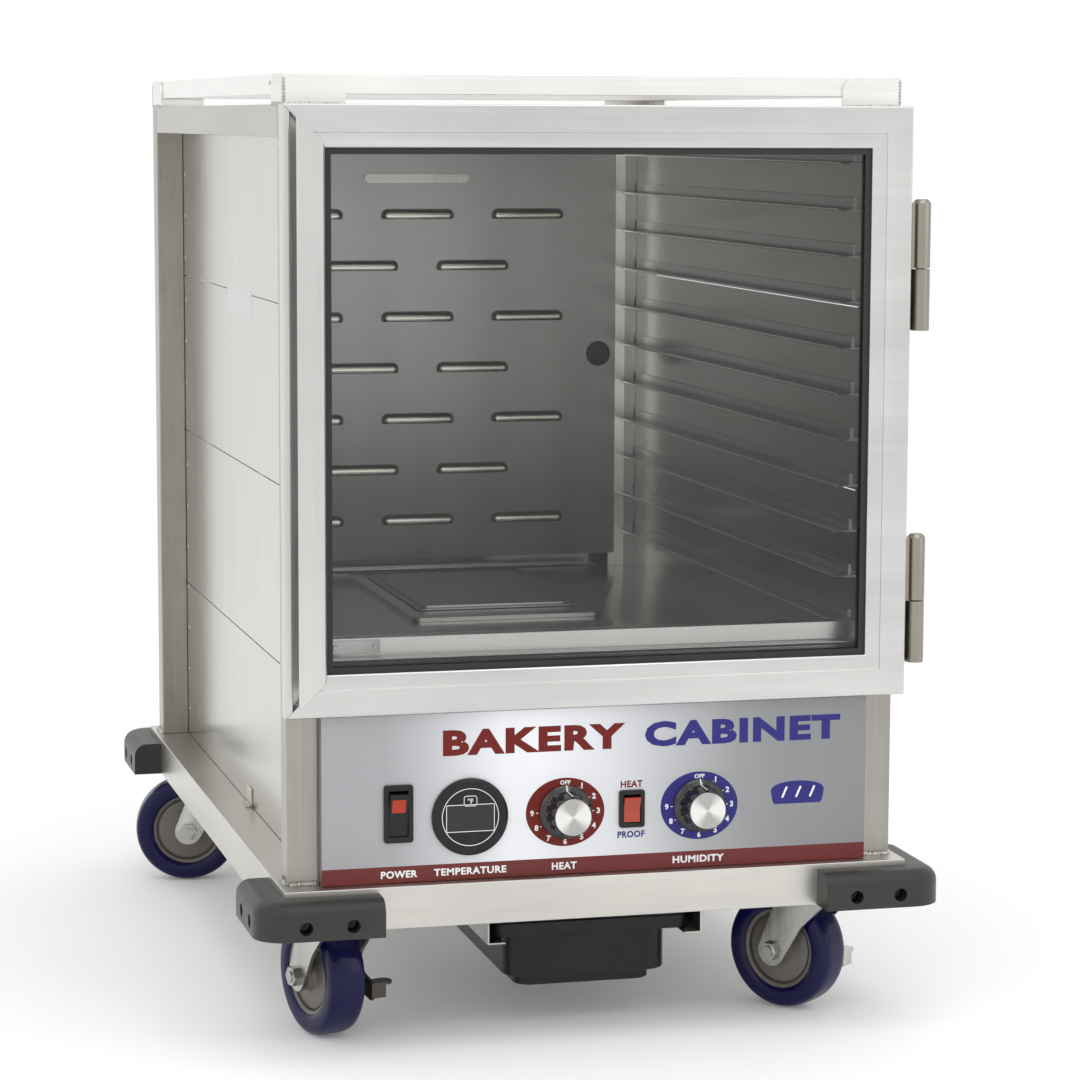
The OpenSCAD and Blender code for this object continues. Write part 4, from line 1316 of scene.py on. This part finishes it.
@dataclass
class Corner:
    """One caster: where it stands and which way its wheel trails."""

    name: str
    x: float
    y: float
    heading: float
    brake: bool
    trail: float = 35.0
    radius: float = 50.8
    half_width: float = 15.9
    hub: float = 34.0

    def wheel(self, points: Array) -> Array:
        """Points about Z, put on the axle in the row frame."""
        upright = np.stack([points[:, 0] + self.trail, points[:, 2], points[:, 1] + self.radius], -1)
        return turned(upright, "z", self.heading) + np.array([self.x, self.y, 0.0])

    def build(self, f: Finishes) -> None:
        """Makes the tyre and hub and dresses the fork and brake lever."""
        eased("fork_" + self.name, f.zinc, 0.7)
        if self.brake:
            eased("pedal_" + self.name, f.dark_steel if self.name == "fl" else f.zinc, 0.6)
        self.tyre(f)
        self.hub_disc(f)

    def tyre(self, f: Finishes) -> None:
        """Tyre: section is a superellipse, width a cos^0.5 and radius b + c sin^0.55 of one angle."""
        t = np.linspace(0, math.pi, 33)
        wide = self.half_width * np.sign(np.cos(t)) * np.abs(np.cos(t)) ** 0.5
        high = 40.6 + (self.radius - 40.6) * np.sin(t) ** 0.55
        inner = [(self.hub, -13.9), (self.hub + 1.2, -15.2), (38.0, -15.7)]
        outer = [(a, b) for a, b in zip(high[::-1], wide[::-1])]
        profile = inner + outer + [(38.0, 15.7), (self.hub + 1.2, 15.2), (self.hub, 13.9), (self.hub, -13.9)]
        points, faces = revolved(profile, 128)
        node = "tyre_" + self.name
        body = "wheel_" + self.name
        shaped(node + "_round", (self.wheel(points), faces), f.tyre, body, SLOTS[node], (node,), 40.0)

    def hub_disc(self, f: Finishes) -> None:
        """Hub: rim, groove, dished web and boss on both sides, with its bore."""
        side = [(5.35, 20.5), (8.5, 20.5), (9.6, 19.4), (12.0, 18.6), (13.0, 15.0)]
        side += [(14.4, 12.6), (21.0, 11.4), (27.6, 11.8), (28.6, 11.2), (28.9, 8.6)]
        side += [(30.1, 8.6), (30.5, 12.4), (31.4, 13.3), (33.4, 13.6), (34.0, 13.2)]
        profile = side + [(r, -h) for r, h in side[::-1]] + [side[0]]
        points, faces = revolved(profile, 96)
        node = "hub_" + self.name
        body = "wheel_" + self.name
        shaped(node + "_disc", (self.wheel(points), faces), f.hub, body, SLOTS[node], (node,), 38.0)


@dataclass
class Studio:
    """Floor, soft lights and the camera."""

    eye: tuple[float, float, float] = (-0.7219, -2.9484, 0.7465)
    yaw: float = 14.57
    pitch: float = 7.16
    roll: float = 0.2
    focal_px: float = 3353.0
    frame_px: float = 1080.0
    middle: tuple[float, float] = (538.4, 541.1)

    def build(self) -> None:
        """Builds the studio."""
        self.floor()
        self.lights()
        self.camera()

    def floor(self) -> None:
        """Wide pale floor: a flat grid at the wheels' foot."""
        side = np.linspace(-30, 30, 21)
        x, y = np.meshgrid(side, side, indexing="xy")
        points = np.stack([x.ravel(), y.ravel(), 0 * x.ravel() - 0.0004], -1)
        mesh = bpy.data.meshes.new("floor")
        mesh.from_pydata(points.tolist(), [], grid_faces(21, 21).tolist())
        paint = Paint("studio_floor")
        wide = paint.noise((1.2, 1.2, 1.2), 2.0)
        mesh.materials.append(
            paint.done(
                paint.shader(
                    Base_Color=paint.mix(wide * 0.2, (0.93, 0.93, 0.93), (0.91, 0.91, 0.91)),
                    Roughness=0.7,
                    Emission_Color=(1.0, 1.0, 1.0, 1.0),
                    Emission_Strength=0.1,
                )
            )
        )
        piece = bpy.data.objects.new("floor", mesh)
        bpy.context.scene.collection.objects.link(piece)

    def soft_light(
        self, name: str, place: Sequence[float], aim: Sequence[float], size: tuple[float, float], power: float
    ) -> None:
        """Rectangular lamp aimed at a point.

        Args:
            name: its name.
            place: where it stands, in metres.
            aim: what it faces.
            size: width and height in metres.
            power: watts.
        """
        lamp = bpy.data.lights.new(name, "AREA")
        lamp.shape = "RECTANGLE"
        lamp.size, lamp.size_y = size
        lamp.energy = power
        holder = bpy.data.objects.new(name, lamp)
        holder.location = place
        holder.rotation_euler = (Vector(aim) - Vector(place)).to_track_quat("-Z", "Y").to_euler()
        bpy.context.scene.collection.objects.link(holder)

    def lights(self) -> None:
        """White surroundings, large lamps at the left and above, weak ones at the right and in front."""
        world = bpy.data.worlds.new("studio")
        world.use_nodes = True
        world.node_tree.nodes["Background"].inputs[0].default_value = (1.0, 1.0, 1.0, 1.0)
        world.node_tree.nodes["Background"].inputs[1].default_value = 1.0
        bpy.context.scene.world = world
        bpy.context.scene.view_settings.view_transform = "Standard"
        self.soft_light("left", (-2.6, -1.6, 1.7), (0, 0, 0.4), (2.0, 1.6), 6)
        self.soft_light("over", (0.2, -1.2, 3.0), (0, 0, 0.4), (2.4, 1.6), 12)
        self.soft_light("right", (2.6, -2.4, 1.2), (0, 0, 0.4), (1.2, 1.6), 5)
        self.soft_light("front", (0.85, -2.5, 2.5), (0, 0.1, 0.5), (0.7, 0.3), 6)

    def camera(self) -> None:
        """Camera at the viewing angle, its middle moved by the small shift."""
        lens = bpy.data.cameras.new("camera")
        lens.sensor_width = 36.0
        lens.lens = self.focal_px / self.frame_px * 36.0
        half = self.frame_px / 2
        lens.shift_x = (half - self.middle[0]) / self.frame_px
        lens.shift_y = (self.middle[1] - half) / self.frame_px
        holder = bpy.data.objects.new("camera", lens)
        holder.location = self.eye
        yaw, pitch = math.radians(self.yaw), math.radians(self.pitch)
        ahead = Vector((math.sin(yaw) * math.cos(pitch), math.cos(yaw) * math.cos(pitch), -math.sin(pitch)))
        aim = ahead.to_track_quat("-Z", "Y").to_matrix()
        holder.rotation_euler = (aim @ Matrix.Rotation(math.radians(self.roll), 3, "Z")).to_euler()
        bpy.context.scene.collection.objects.link(holder)
        bpy.context.scene.camera = holder


def main() -> None:
    """Builds the cabinet's looks in order."""
    logging.basicConfig(level=logging.INFO, format="%(name)s %(message)s")
    Studio().build()
    finishes = Finishes()
    Body().build(finishes)
    Door().build(finishes)
    Cavity().build(finishes)
    ControlPanel().build(finishes)
    ModuleInside().build(finishes)
    eased("drip_pan", finishes.pan, 1.4, 3)
    for name, x, y, heading, brake in [
        ("fl", -206.0, -333.0, 106.0, True),
        ("fr", 206.0, -333.0, 127.0, True),
        ("rl", -202.0, 290.0, 172.0, False),
        ("rr", 202.0, 290.0, 150.0, False),
    ]:
        Corner(name, x, y, heading, brake).build(finishes)


if __name__ == "__main__":
    main()
